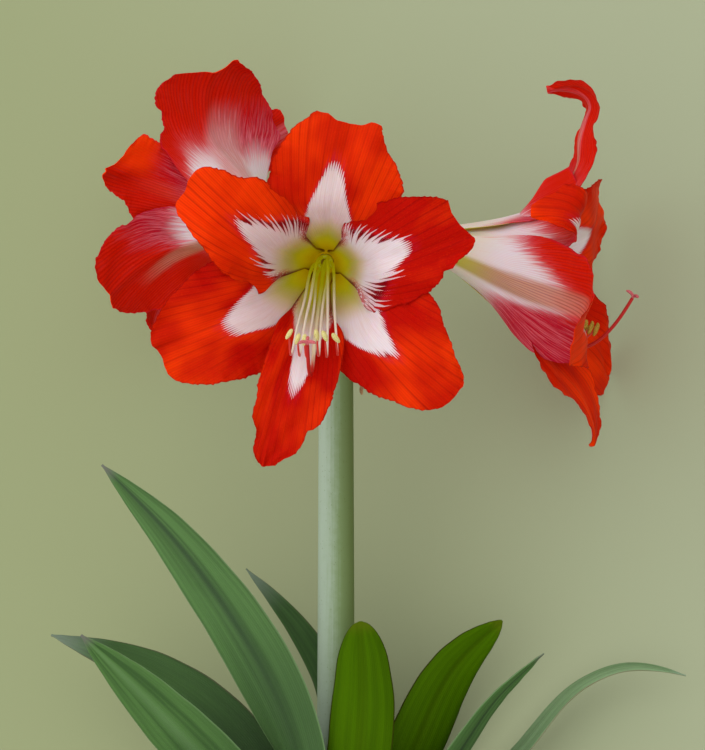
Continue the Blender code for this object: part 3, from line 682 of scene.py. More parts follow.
@dataclass(frozen=True)
class PetalFinish:
    """Red petal with a white star and a green throat."""
    deep: Triple = srgb(186, 11, 0)
    bright: Triple = srgb(250, 58, 0)
    vein: Triple = srgb(136, 2, 3)
    claret: Triple = srgb(116, 0, 14)
    pink: Triple = srgb(196, 26, 62)
    white: Triple = srgb(236, 224, 231)
    shade: Triple = srgb(208, 164, 152)
    blush: Triple = srgb(222, 150, 160)
    cream: Triple = srgb(206, 190, 128)
    lime: Triple = srgb(180, 182, 26)
    olive: Triple = srgb(156, 118, 6)
    brown: Triple = srgb(90, 16, 4)
    crimson: Triple = srgb(184, 12, 44)
    back_red: Triple = srgb(212, 24, 0)
    rose: Triple = srgb(224, 118, 132)
    tan: Triple = srgb(182, 134, 78)
    rose_tan: Triple = srgb(202, 120, 100)
    russet: Triple = srgb(146, 60, 36)
    # Painted glow of the throat, standing in for light through the claws.
    glow: Triple = srgb(110, 90, 0)
    lanes: float = 15.5
    body = tissue(0.03, 0.30, (1.0, 0.30, 0.10), 0.0014)

    def veins(self, tree: ShaderTree, pace: float, wobble: float) -> tuple[Value, Value, Value]:
        """Where a place lies among the veins, which fan out from the claw.

        Args:
            tree: The material's tree.
            pace: Number of veins on half the petal's width at the claw's end.
            wobble: How far a vein strays from its line, in vein spacings.

        Returns:
            The place across the veins, its height between two veins (0 midway and 1 on a vein), and a number
            for each space between two veins.
        """
        along = tree.attribute("along")
        vein = tree.attribute("fan") / (1.0 + tree.math("MAXIMUM", along - 0.35, 0.0) * 2.2)
        sway = (tree.noise(tree.vector(vein * 3.0, along * 3.0), 1.0) - 0.5) * wobble
        phase = vein * pace + sway + 40.0
        lane = tree.math("ROUND", phase)
        saw = 1.0 - tree.math("ABSOLUTE", phase - lane) * 2.0
        return vein, saw, lane

    def throat(self, tree: ShaderTree, along: Value, away: Value) -> Value:
        """Painted glow: emission that stands in for light through the claws and lifts the shade in the throat."""
        mask = tree.smooth(along + away * 0.06, 0.36, 0.16) * tree.smooth(away, 1.0, 0.3)
        return tree.mix(mask, BLACK, self.glow)

    def inner(self) -> bpy.types.Material:
        """The side that faces into the bloom."""
        tree = ShaderTree("petal_inside")
        mix, smooth, noise = tree.mix, tree.smooth, tree.noise
        along, across, offset = (tree.attribute(name) for name in ("along", "across", "offset"))
        star, fringe, seed = (tree.attribute(name) for name in ("star", "fringe", "seed"))
        ring, warm = tree.attribute("ring"), tree.attribute("warm")
        side, away = tree.math("ABSOLUTE", across), tree.math("ABSOLUTE", offset)
        vein, saw, lane = self.veins(tree, self.lanes, 0.35)
        _, near_saw, near_lane = self.veins(tree, self.lanes * 1.2, 1.5)
        _, fine_saw, _ = self.veins(tree, self.lanes * 3.4, 0.9)
        chance, near_chance = tree.chance(lane + seed * 7.0), tree.chance(near_lane + seed * 3.0)
        fibre = noise(tree.vector(vein * 62.0, along * 7.0, seed), 3.0, 0.65)
        cloud = noise(tree.vector(vein * 2.4, along * 3.4, seed), 2.0)
        grain = noise(tree.vector(vein * 150.0, along * 110.0, seed), 2.0, 0.7)
        depth = tree.math("MAXIMUM", fringe - star, 0.02)
        deep = smooth(depth, 0.045, 0.10)
        tooth = fine_saw + (near_saw - fine_saw) * deep
        stray = (fibre - 0.5) * (0.03 + 0.04 * deep) + (near_chance - 0.5) * 0.12 * deep
        share = (fringe + stray) / depth
        spread = tree.math("MAXIMUM", share, 0.0) ** 2.2
        red = smooth(tooth + spread * (0.75 + 0.50 * near_chance), 0.84, 1.02) * smooth(share, 0.0, 0.10)
        veined = smooth(saw, 0.55, 1.0)
        main_line = veined * (0.15 + 0.50 * chance)
        fine_line = smooth(fine_saw, 0.35, 1.0)
        # Share of the bright red: cloudy tone, lighter toward the tip, with each petal's painted light and shade.
        tone_and_painted_light = tree.clamp(smooth(cloud, 0.36, 0.66) * 0.70 + smooth(along, 0.55, 0.95) * 0.30
                           + tree.attribute("lit"))
        base = mix(tone_and_painted_light, self.deep, self.bright)
        faded = 0.40 + 0.60 * smooth(noise(tree.vector(vein * 5.0, along * 4.0, seed)), 0.35, 0.60)
        base = mix(main_line * faded * 0.80 + fine_line * 0.14, base, self.vein)
        base = mix(smooth(grain, 0.55, 0.80) * 0.35, base, self.bright)
        near = smooth(star, 0.05, -0.02)
        base = mix(near * smooth(fibre, 0.40, 0.65) * 0.55, base, self.pink)
        base = mix(smooth(star, 0.0, -0.05) * 0.85, base, self.claret)
        pale = mix(tree.clamp(smooth(fibre, 0.35, 0.75) * 0.22 + fine_line * 0.12 + warm), self.white, self.shade)
        pale = mix(smooth(share, 0.0, 0.7) * 0.4, pale, self.blush)
        pale = mix(smooth(along + away * 0.12, 0.52, 0.36), pale, self.cream)
        pale = mix(smooth(along + away * 0.16 + (fibre - 0.5) * 0.04, 0.42, 0.26), pale, self.lime)
        pale = mix(smooth(along + away * 0.06, 0.27, 0.10) * 0.9, pale, self.olive)
        colour = mix(red, pale, base)
        net = tree.cells(tree.vector(vein * 24.0, along * 40.0, seed), 1.0)
        netting = smooth(side, 0.62, 0.90) * smooth(along, 0.54, 0.44) * smooth(along, 0.24, 0.34)
        colour = mix(netting * smooth(net, 0.26, 0.10) * (1.0 - red) * 0.8, colour, self.deep)
        colour = mix(ring, colour, self.brown)
        edge = smooth(side, 0.965, 0.995) * smooth(along, 0.42, 0.5)
        colour = mix(edge * 0.6, colour, self.vein)
        normal = tree.bump(0.7 * grain + 0.3 * fine_line - 0.8 * veined, 0.30, 0.00025)
        # Painted glow: the throat is lit from within by emission.
        tree.glow(self.throat(tree, along, away))
        return tree.finish(colour, 0.44 + 0.16 * grain, normal, self.body)

    def outer(self) -> bpy.types.Material:
        """The back of a petal: a striped midrib between white lobes, crimson flanks and a red tip."""
        tree = ShaderTree("petal_outside")
        mix, smooth, noise = tree.mix, tree.smooth, tree.noise
        along, across, offset = (tree.attribute(name) for name in ("along", "across", "offset"))
        seed, rib, back, ribbed = (tree.attribute(name) for name in ("seed", "rib", "back", "ribbed"))
        side, away = tree.math("ABSOLUTE", across), tree.math("ABSOLUTE", rib)
        vein, saw, _ = self.veins(tree, self.lanes * 2.0, 1.3)
        line = smooth(saw, 0.30, 0.95)
        fibre = noise(tree.vector(vein * 60.0, along * 7.0, seed), 3.0, 0.65)
        cloud = noise(tree.vector(vein * 2.0, along * 3.0, seed), 2.0)
        grain = noise(tree.vector(vein * 150.0, along * 110.0, seed), 2.0, 0.7)
        level = back + (fibre - 0.5) * 0.30 + (cloud - 0.5) * 0.14
        white = smooth(level, 0.06, -0.08)
        rim = smooth(level, 0.18, 0.0)
        warm = tree.attribute("warm")
        fanned = smooth(warm, 0.30, 0.35)
        purple = warm * (smooth(offset, -0.1, 0.4) * 0.60 - smooth(offset, 0.0, -0.5) * 0.60)
        red = mix(smooth(along - purple + (cloud - 0.5) * 0.3, 0.40, 0.64), self.crimson, self.back_red)
        red = mix(line * 0.30, red, self.vein)
        flank = smooth(along - purple, 0.66, 0.42)
        red = mix(smooth(fibre, 0.40, 0.72) * (0.04 + rim * 0.6 + flank * 0.70), red, self.rose)
        red = mix(smooth(grain, 0.5, 0.8) * 0.35, red, self.bright)
        # Painted highlight: the lit number lightens the red toward the tip on one side of the back.
        lit = tree.attribute("lit") * smooth(along, 0.66, 0.80) * smooth(offset, 0.0, 0.4)
        red = mix(tree.clamp(lit), red, self.bright)
        keel = smooth(away, 0.36, 0.06) * smooth(along, 0.50, 0.72) * smooth(warm, 0.20, 0.10) * 0.7
        red = mix(keel * smooth(fibre, 0.30, 0.60), red, self.rose)
        pale = mix(line * 0.25 + smooth(fibre, 0.5, 0.8) * 0.3, self.white, self.blush)
        colour = mix(white * (0.94 - 0.45 * fanned * smooth(along, 0.42, 0.62)), red, pale)
        width = 0.34 - 0.18 * along
        band = smooth(away + (fibre - 0.5) * 0.12, width, width * 0.4) * smooth(along, 0.84, 0.60)
        stripe = mix(smooth(along, 0.20, 0.65), self.tan, self.rose_tan)
        stripe = mix(line * (0.15 + 0.75 * smooth(fibre, 0.30, 0.65)), stripe, self.russet)
        stripe = mix(fanned * 0.6, stripe, self.blush)
        whitened = 0.12 + 0.40 * fanned
        stripe = mix(smooth(fibre, 0.48, 0.75) * whitened, stripe, self.white)
        colour = mix(band * (0.10 + 0.75 * ribbed), colour, stripe)
        green = smooth(along, 0.34, 0.14) * (0.30 + 0.35 * smooth(away, 0.35, 0.1))
        colour = mix(green, colour, self.lime)
        edge = smooth(side, 0.96, 0.99) * smooth(along, 0.42, 0.5)
        colour = mix(edge * 0.4, colour, self.pink)
        normal = tree.bump(0.6 * grain + 0.5 * line, 0.30, 0.00025)
        return tree.finish(colour, 0.46 + 0.15 * grain, normal, self.body)


@dataclass(frozen=True)
class LeafFinish:
    """Waxy strap leaf with fine lengthwise veins."""
    name: str
    light: Triple
    dark: Triple
    band: Triple
    tip: Triple
    margin: Triple
    band_share: float = 0.6
    wax: float = 1.0
    gloss: float = 0.12
    tip_from: float = 0.955
    foot: Triple = srgb(206, 212, 168)
    wax_tone: Triple = srgb(140, 168, 140)

    def material(self) -> bpy.types.Material:
        """The leaf's material, the same on both sides but for the wax."""
        tree = ShaderTree(self.name)
        mix, smooth, noise = tree.mix, tree.smooth, tree.noise
        along, across = tree.attribute("along"), tree.attribute("across")
        seed, front = tree.attribute("seed"), tree.attribute("front")
        side = tree.math("ABSOLUTE", across)
        streak = noise(tree.vector(across * 5.0, along * 1.4, seed), 1.0)
        fibre = noise(tree.vector(across * 48.0, along * 3.0, seed), 2.0, 0.6)
        cloud = noise(tree.vector(across * 2.0, along * 5.0, seed), 2.0)
        vein = tree.math("SINE", across * 95.0)
        colour = mix(smooth(streak * 0.6 + cloud * 0.25 + fibre * 0.15, 0.32, 0.68), self.dark, self.light)
        centre = smooth(side + (streak - 0.5) * 0.3 + (fibre - 0.5) * 0.06, 0.30, 0.02)
        colour = mix(centre * self.band_share * front, colour, self.band)
        colour = mix((vein * 0.5 + 0.5) * 0.06, colour, self.dark)
        # Painted shade: the lower blade, which the leaves around it shadow, darkens to a deeper copy of the dark
        # green.
        colour = mix(smooth(along, 0.72, 0.44) * 0.7, colour, tuple(0.6 * part for part in self.dark))
        colour = mix(smooth(along, self.tip_from, 1.0), colour, self.tip)
        colour = mix(smooth(side, 0.94, 0.985) * 0.75, colour, self.margin)
        pale = smooth(along + (streak - 0.5) * 0.06, 0.17, 0.05)
        colour = mix(pale, colour, self.foot)
        wax = noise(tree.place(), 3.0, 0.6, scale=900.0)
        colour = mix(((1.0 - front) * 0.30 + wax * 0.12) * self.wax, colour, self.wax_tone)
        normal = tree.bump(vein * 0.5 + wax * 0.5, 0.30, 0.00025)
        return tree.finish(colour, 0.36 + 0.18 * wax + 0.10 * streak, normal,
                           tissue(self.gloss, 0.08, (0.4, 1.0, 0.2), 0.0015))


@dataclass(frozen=True)
class ScapeFinish:
    """Hollow green stalk under a grey waxy bloom: painted light on one side, painted olive shade on the other."""
    wax: Triple = srgb(166, 184, 164)
    green: Triple = srgb(112, 136, 78)
    olive: Triple = srgb(92, 108, 46)
    base: Triple = srgb(166, 178, 112)

    def material(self) -> bpy.types.Material:
        """The stalk's skin."""
        tree = ShaderTree("scape_waxy")
        mix, smooth, noise = tree.mix, tree.smooth, tree.noise
        along, turn = tree.attribute("along"), tree.attribute("round")
        place = tree.place()
        streak = noise(tree.tube(9.0, along * 9.0), 3.0, 0.6)
        mottle = noise(place, 3.0, 0.6, scale=260.0)
        grain = noise(place, 2.0, 0.6, scale=2600.0)
        # Painted light and shade round the stalk: pale wax toward the light, green and then olive away from it.
        away = tree.math("COSINE", (turn - 0.02) * TURN) * 0.5 + 0.5
        bare_and_painted_shade = smooth(away + (streak - 0.5) * 0.35 + (mottle - 0.5) * 0.2, 0.05, 0.66)
        colour = mix(bare_and_painted_shade * 0.88, self.wax, self.green)
        colour = mix(smooth(away, 0.5, 1.0) * 0.6, colour, self.olive)
        speck = tree.cells(tree.vector(turn * 34.0, along * 120.0, 0.0), 1.0, Cells.MIDDLE)
        colour = mix(smooth(speck, 0.16, 0.06) * 0.5, colour, self.olive)
        colour = mix(smooth(along, 0.88, 1.0) * 0.5, colour, self.green)
        colour = mix(smooth(along, 0.16, 0.0) * 0.7, colour, self.base)
        normal = tree.bump(streak * 0.7 + grain * 0.3, 0.25, 0.0004)
        return tree.finish(colour, 0.48 + 0.2 * mottle, normal, tissue(0.16, 0.05, (0.6, 1.0, 0.3), 0.002))


@dataclass(frozen=True)
class FleshFinish:
    """Moist cut tissue: pale, with a grain."""
    name: str
    pale: Triple
    dark: Triple

    def material(self) -> bpy.types.Material:
        """The cut face."""
        tree = ShaderTree(self.name)
        place = tree.place()
        spot = tree.cells(place, 1500.0, Cells.MIDDLE)
        cloud = tree.noise(place, 3.0, 0.6, scale=300.0)
        colour = tree.mix(tree.smooth(spot, 0.25, 0.6) * 0.5 + cloud * 0.3, self.pale, self.dark)
        return tree.finish(colour, 0.28 + 0.25 * cloud, tree.bump(spot, 0.25, 0.0003),
                           tissue(0.5, 0.1, (0.8, 1.0, 0.5), 0.002))


@dataclass(frozen=True)
class PaperyFinish:
    """Dry brown tissue with fine ribs."""
    name: str
    light: Triple = srgb(196, 160, 112)
    dark: Triple = srgb(120, 78, 44)
    ribs: float = 26.0

    def material(self) -> bpy.types.Material:
        """The dry skin."""
        tree = ShaderTree(self.name)
        along, across = tree.attribute("along"), tree.attribute("across")
        sway = tree.noise(tree.vector(across * 3.0, along * 4.0), 2.0) * 2.2
        rib = tree.math("SINE", across * (self.ribs * math.pi) + sway * 3.0) * 0.5 + 0.5
        streak = tree.noise(tree.vector(across * 26.0, along * 3.0), 4.0, 0.65)
        blotch = tree.noise(tree.place(), 3.0, 0.6, scale=160.0)
        colour = tree.mix(tree.smooth(streak * 0.55 + blotch * 0.45, 0.36, 0.62), self.dark, self.light)
        colour = tree.mix(rib * 0.25, colour, self.dark)
        normal = tree.bump(rib * 0.6 + streak * 0.6, 0.55, 0.0006)
        return tree.finish(colour, 0.62 + 0.2 * blotch, normal, {"Specular IOR Level": 0.3})


@dataclass(frozen=True)
class FilamentFinish:
    """Filament or style: green at its foot, pale along its length, red where it hooks up."""
    name: str
    foot: Triple
    middle: Triple
    end: Triple
    turn: tuple[float, float]
    # Painted glow at the foot, which lifts the shade deep in the throat.
    glow: Triple = srgb(96, 92, 0)

    def material(self) -> bpy.types.Material:
        """A smooth moist surface."""
        tree = ShaderTree(self.name)
        along = tree.attribute("along")
        streak = tree.noise(tree.vector(tree.attribute("round") * 14.0, along * 6.0), 2.0)
        shift = (streak - 0.5) * 0.08
        colour = tree.mix(tree.smooth(along + shift, 0.22, 0.50), self.foot, self.middle)
        colour = tree.mix(tree.smooth(along + shift, *self.turn), colour, self.end)
        normal = tree.bump(streak, 0.2, 0.0003)
        # Painted glow at the foot: emission that lifts the throat's shade.
        tree.glow(tree.mix(tree.smooth(along, 0.50, 0.20), BLACK, self.glow))
        return tree.finish(colour, 0.34 + 0.1 * streak, normal, tissue(0.30, 0.25, (1.0, 0.7, 0.4), 0.001))


@dataclass(frozen=True)
class GrainFinish:
    """A small grainy part, such as pollen or the papillae of a stigma."""
    name: str
    light: Triple
    dark: Triple
    size: float = 2400.0

    def material(self) -> bpy.types.Material:
        """A dull powdery surface."""
        tree = ShaderTree(self.name)
        spot = tree.noise(tree.place(), 3.0, 0.6, scale=self.size)
        colour = tree.mix(tree.smooth(spot, 0.35, 0.65), self.dark, self.light)
        return tree.finish(colour, 0.55 + 0.25 * spot, tree.bump(spot, 0.4, 0.0003), {"Specular IOR Level": 0.3})


@dataclass(frozen=True)
class StalkFinish:
    """Green flower stalk and ovary with three furrows."""
    dark: Triple = srgb(92, 116, 40)
    light: Triple = srgb(148, 164, 78)
    mottled: Triple = srgb(172, 184, 120)
    collar: Triple = srgb(168, 120, 84)

    def material(self) -> bpy.types.Material:
        """A satin green skin."""
        tree = ShaderTree("stalk_satin")
        along = tree.attribute("along")
        streak = tree.noise(tree.tube(5.0, along * 3.0), 3.0)
        mottle = tree.noise(tree.place(), 3.0, scale=700.0)
        colour = tree.mix(streak, self.dark, self.light)
        colour = tree.mix(tree.smooth(mottle, 0.5, 0.75) * 0.4, colour, self.mottled)
        colour = tree.mix(tree.smooth(along, 0.86, 1.0) * 0.7, colour, self.collar)
        return tree.finish(colour, 0.38 + 0.2 * mottle, tree.bump(streak + mottle * 0.4, 0.25, 0.0004),
                           {"Specular IOR Level": 0.4})


@dataclass(frozen=True)
class Tepal:
    """One petal: angles in degrees round and away from the bloom's axis, lengths in millimetres.

    Left and right say how wide each side is at some shares of the length, and the crown says where the tip ends,
    from its left to its right. Star says where the white patch ends at some places across, fringe where the red
    veins in it end, lobes where the white on the back ends, and rib how far the back's midrib leans at the tip.
    The veins lean by the skew, and warm is how peach the patch is. Claw widens the claw, opens says from where to
    where the petal leaves the funnel's round, and curl how much each side then bends in, or out where it is less
    than 0. Angles replace the midrib's own ones at some shares of the length, and twists turn the blade about the
    midrib by some degrees. Band is how wide the back's midrib shows; bright is painted light on the red above 0
    and painted shade below 0. In the curves places and shares are in percent, and degrees are as they are.
    """
    azimuth: float
    length: float
    halves: tuple[float, float]
    funnel: float = 27.0
    rim: float = 52.0
    flare: float = 78.0
    tip: float = 92.0
    throat: float = 20.0
    turn: float = 0.66
    cup: float = 0.0
    wave: float = 2.0
    waves: float = 2.2
    phase: float = 0.0
    peak: float = 0.62
    blunt: float = 2.5
    outer: bool = False
    skew: float = 0.0
    warm: float = 0.0
    rib: float = 0.0
    claw: float = 1.0
    opens: tuple[float, float] = (0.35, 0.72)
    angles: Curve = ()
    curl: tuple[float, float] = (0.0, 0.0)
    band: float = 1.0
    bright: float = 0.0
    twists: Curve = ()
    left: Curve = ()
    right: Curve = ()
    crown: tuple[float, ...] = ()
    star: Curve = curve(-100, 42, -70, 50, -50, 57, -30, 66, -12, 74, 0, 77, 12, 74, 30, 66, 50, 57, 70, 50, 100, 42)
    fringe: Curve = ()
    lobes: Curve = curve(-130, 28, -90, 42, -50, 58, 0, 66, 50, 58, 90, 42, 130, 28)


class TepalShape:
    """The surface of one petal of a bloom."""
    tube_radius = 5.8
    whorl_offset = 0.9
    whorl_spread = 0.7
    base_angle = 4.0
    throat_at = 0.15
    claw_share = 0.23
    claw_arc_limit = 0.90 * math.pi / 3.0
    rib_depth = 1.0
    rib_reach = 4.0
    waist = 0.30
    hugs = {True: 0.8, False: 0.92}
    thin, thicker_rib, thicker_foot = 0.30, 0.45, 0.5
    tooth_sizes = (0.35, 0.28)
    ruffle, swelling, crease_depth, crease_reach = 0.9, 0.6, 0.35, 1.3
    foot_at = 0.012
    rows = 112
    columns = 46

    def __init__(self, bloom: Bloom, tepal: Tepal, number: int) -> None:
        """Note the bloom, the petal's sizes and its number, which also seeds its small waves."""
        self.bloom = bloom
        self.tepal = tepal
        self.seed = bloom.seed * 10 + number

    def profile(self, t: np.ndarray) -> tuple[np.ndarray, np.ndarray, np.ndarray]:
        """Radius, height and slope of the midrib at the shares t of its length."""
        tepal = self.tepal
        knots = (0.0, self.throat_at, tepal.turn - 0.14, tepal.turn, min(tepal.turn + 0.15, 0.86), 1.0)
        angles = (self.base_angle, tepal.throat, tepal.funnel, tepal.rim, tepal.flare, tepal.tip)
        if tepal.angles:
            knots, angles = zip(*tepal.angles)
        fine = np.linspace(0.0, 1.1, 441)
        slope = np.radians(through(knots, angles, np.minimum(fine, 1.0)))
        step = tepal.length / 400.0
        sine, cosine = np.sin(slope), np.cos(slope)
        radius = self.tube_radius + step * np.concatenate([[0.0], np.cumsum(sine[1:] + sine[:-1]) / 2])
        height = step * np.concatenate([[0.0], np.cumsum(cosine[1:] + cosine[:-1]) / 2])
        return np.interp(t, fine, radius), np.interp(t, fine, height), np.interp(t, fine, slope)

    def share(self, t: np.ndarray, outline: Curve) -> np.ndarray:
        """Share of the full half width past the claw, on a side that has this outline."""
        tepal = self.tepal
        if not outline:
            past = np.clip((t - tepal.peak) / (1 - tepal.peak), 0.0, 1.0)
            return np.maximum((1 - past ** tepal.blunt) ** (1 / tepal.blunt), 0.03)
        places = [0.34, *(place for place, _ in outline)]
        shares = [1.0, *(share for _, share in outline)]
        return through(places, shares, np.clip(t, places[0], places[-1]))

    def full_width(self, t: np.ndarray, v: np.ndarray, radius: np.ndarray) -> np.ndarray:
        """Half width without its outline: a narrow claw that widens to the peak."""
        tepal = self.tepal
        rise = self.claw_share + (1 - self.claw_share) * np.sin(math.pi / 2 * np.clip(t / tepal.peak, 0, 1)) ** 1.5
        full = np.where(v < 0, tepal.halves[0], tepal.halves[1])
        return np.minimum(full * rise, tepal.claw * self.claw_arc_limit * radius)

    def half_width(self, t: np.ndarray, v: np.ndarray, radius: np.ndarray) -> np.ndarray:
        """Half width: the full one cut to its outline, with small teeth."""
        tepal = self.tepal
        sides = np.where(v < 0, self.share(t, tepal.left), self.share(t, tepal.right))
        smooth = np.minimum(self.full_width(t, v, radius) * sides, tepal.claw * self.claw_arc_limit * radius)
        if not tepal.outer and tepal.claw <= 1.0:
            smooth = smooth * (1 - self.waist * ease(0.08, 0.16, t) * ease(0.50, 0.34, t))
        teeth = np.where(v < 0, wander(t, self.seed, 9.0), wander(t, self.seed + 50, 9.0))
        small = np.where(v < 0, wander(t, self.seed + 1, 38.0), wander(t, self.seed + 51, 38.0))
        large_share, small_share = self.tooth_sizes
        ragged = large_share * teeth + small_share * small
        return smooth + ease(0.40, 0.75, t) * ragged * np.minimum(smooth / 12.0, 1.0)

    def points(self, t: np.ndarray, v: np.ndarray) -> tuple[np.ndarray, np.ndarray, np.ndarray]:
        """Middle points, the inward direction and the distance from the midrib in millimetres.

        Args:
            t: Shares of the length, from foot to tip.
            v: Shares of the half width, from -1 to 1.
        """
        tepal = self.tepal
        foot, side, up, axis = self.bloom.frame()
        radius, height, slope = self.profile(t)
        azimuth = math.radians(tepal.azimuth)
        out = math.cos(azimuth) * side + math.sin(azimuth) * up
        across = -math.sin(azimuth) * side + math.cos(azimuth) * up
        inward = np.sin(slope)[:, None] * axis - np.cos(slope)[:, None] * out
        blade = ease(*tepal.opens, t)
        hug = self.hugs[tepal.outer] / np.maximum(radius, self.tube_radius)
        bend = (1 - blade) * hug + blade * (tepal.cup + np.where(v < 0, *tepal.curl))
        bend = np.where(np.abs(bend) < 1e-5, 1e-5, bend)
        reach = self.half_width(t, v, radius) * v
        sideways = np.sin(bend * reach) / bend
        lift = (1 - np.cos(bend * reach)) / bend
        spread = self.whorl_offset + self.whorl_spread * ease(0.15, 0.5, t)
        lift = lift - spread if tepal.outer else lift + spread
        ripple = np.radians(tepal.phase) + np.where(v > 0, math.radians(120), 0.0)
        lift = lift + tepal.wave * ease(0.4, 0.7, t) * v * v * np.sin(TURN * tepal.waves * t + ripple)
        lift = lift - self.rib_depth * ease(0.25, 0.5, t) * np.exp(-(reach / self.rib_reach) ** 2)
        lift = lift + self.relief(t, v, reach)
        if tepal.twists:
            places, turns = zip(*tepal.twists)
            turn = np.radians(through(places, turns, np.clip(t, places[0], places[-1])))
            sideways, lift = (sideways * np.cos(turn) - lift * np.sin(turn),
                              sideways * np.sin(turn) + lift * np.cos(turn))
        middle = foot + radius[:, None] * out + height[:, None] * axis
        return middle + sideways[:, None] * across + lift[:, None] * inward, inward, reach

    def relief(self, t: np.ndarray, v: np.ndarray, reach: np.ndarray) -> np.ndarray:
        """Small ruffles of the margins, soft swellings and the crease along the midrib."""
        rim = np.abs(v) ** 5 * ease(0.42, 0.62, t)
        ruffle = np.where(v > 0, wander(t, self.seed + 7, 7.0), wander(t, self.seed + 8, 7.0))
        swell = self.swelling * wander(t * 2.0 + v * 0.8, self.seed + 9, 1.1, 2) * ease(0.45, 0.7, t)
        crease = -self.crease_depth * np.exp(-(reach / self.crease_reach) ** 2) * ease(0.3, 0.5, t)
        return self.ruffle * rim * ruffle + swell + crease

    def marks(self, t: np.ndarray, v: np.ndarray, reach: np.ndarray) -> dict[str, np.ndarray]:
        """The numbers that the material reads.

        Args:
            t: Shares of the length.
            v: Shares of the half width.
            reach: Distance from the midrib in millimetres.

        Returns:
            Each number by its name. Star, fringe and back are lengths past the end of that marking.
        """
        tepal = self.tepal
        radius, _, _ = self.profile(t)
        offset = reach / self.full_width(t, v, radius)
        fan = offset + tepal.skew * (t - 0.5)

        def past(line: Curve) -> np.ndarray:
            """How far each place lies past the line where a marking ends."""
            return t - np.interp(offset, [place for place, _ in line], [end for _, end in line])

        star = past(tepal.star)
        fringe = past(tepal.fringe) if tepal.fringe else star + 0.05
        ring = (ease(0.80, 0.97, np.abs(v)) * ease(0.03, 0.12, t) * ease(0.46, 0.30, t)
                * (0.0 if tepal.outer else 0.9))
        rib = (offset - tepal.rib * ease(0.25, 0.95, t)) / tepal.band
        still = np.ones_like(t)
        # Lit carries the petal's painted light, and painted shade where it is below 0.
        return {"along": t, "across": v, "offset": offset, "fan": fan, "star": star, "fringe": fringe, "ring": ring,
                "back": past(tepal.lobes), "rib": rib, "ribbed": still * tepal.outer, "warm": still * tepal.warm,
                "lit": still * tepal.bright, "seed": still * self.seed * 1.37}

    def add_to(self, parts: MeshParts) -> None:
        """Add the petal's closed shell to the bloom's mesh."""
        tepal = self.tepal
        rows = self.foot_at + (1 - self.foot_at) * (1 - (1 - np.linspace(0.0, 1.0, self.rows)) ** 1.12)
        grid_t, grid_v = np.meshgrid(rows, crowded(self.columns, 1.25), indexing="ij")
        if tepal.crown:
            tops = np.interp(grid_v, np.linspace(-1.0, 1.0, len(tepal.crown)), tepal.crown)
            grid_t = grid_t * (1 + (tops - 1) * ease(0.5, 1.0, grid_t))
        flat_t, flat_v = grid_t.reshape(-1), grid_v.reshape(-1)
        middle, inward, reach = self.points(flat_t, flat_v)
        thick = (self.thin + self.thicker_rib * np.exp(-(reach / 5.0) ** 2)
                 + self.thicker_foot * ease(0.25, 0.05, flat_t))
        parts.add_sheet(grid_t.shape, middle, thick, inward, self.marks(flat_t, flat_v, reach))


@dataclass(frozen=True)
class Bloom:
    """One bloom: the foot of its tube, the way it faces, its petals, stalk, style and stamens."""
    name: str
    seed: int
    foot: Triple
    axis: Triple
    tepals: tuple[Tepal, ...]
    stalk: tuple[Triple, ...]
    style: tuple[Triple, ...]
    stamen_lift: float = 0.0

    def frame(self) -> tuple[np.ndarray, np.ndarray, np.ndarray, np.ndarray]:
        """Foot of the tube and the bloom's own side, up and axis directions."""
        axis = unit(np.array(self.axis))
        up = unit(UP - UP.dot(axis) * axis)
        return np.array(self.foot, float), np.cross(up, axis), up, axis

    def inside(self, points: Sequence[Sequence[float]]) -> np.ndarray:
        """Places given as side, up and height in the bloom, as places in the plant."""
        foot, side, up, axis = self.frame()
        points = np.asarray(points, float)
        return foot + points[..., :1] * side + points[..., 1:2] * up + points[..., 2:] * axis


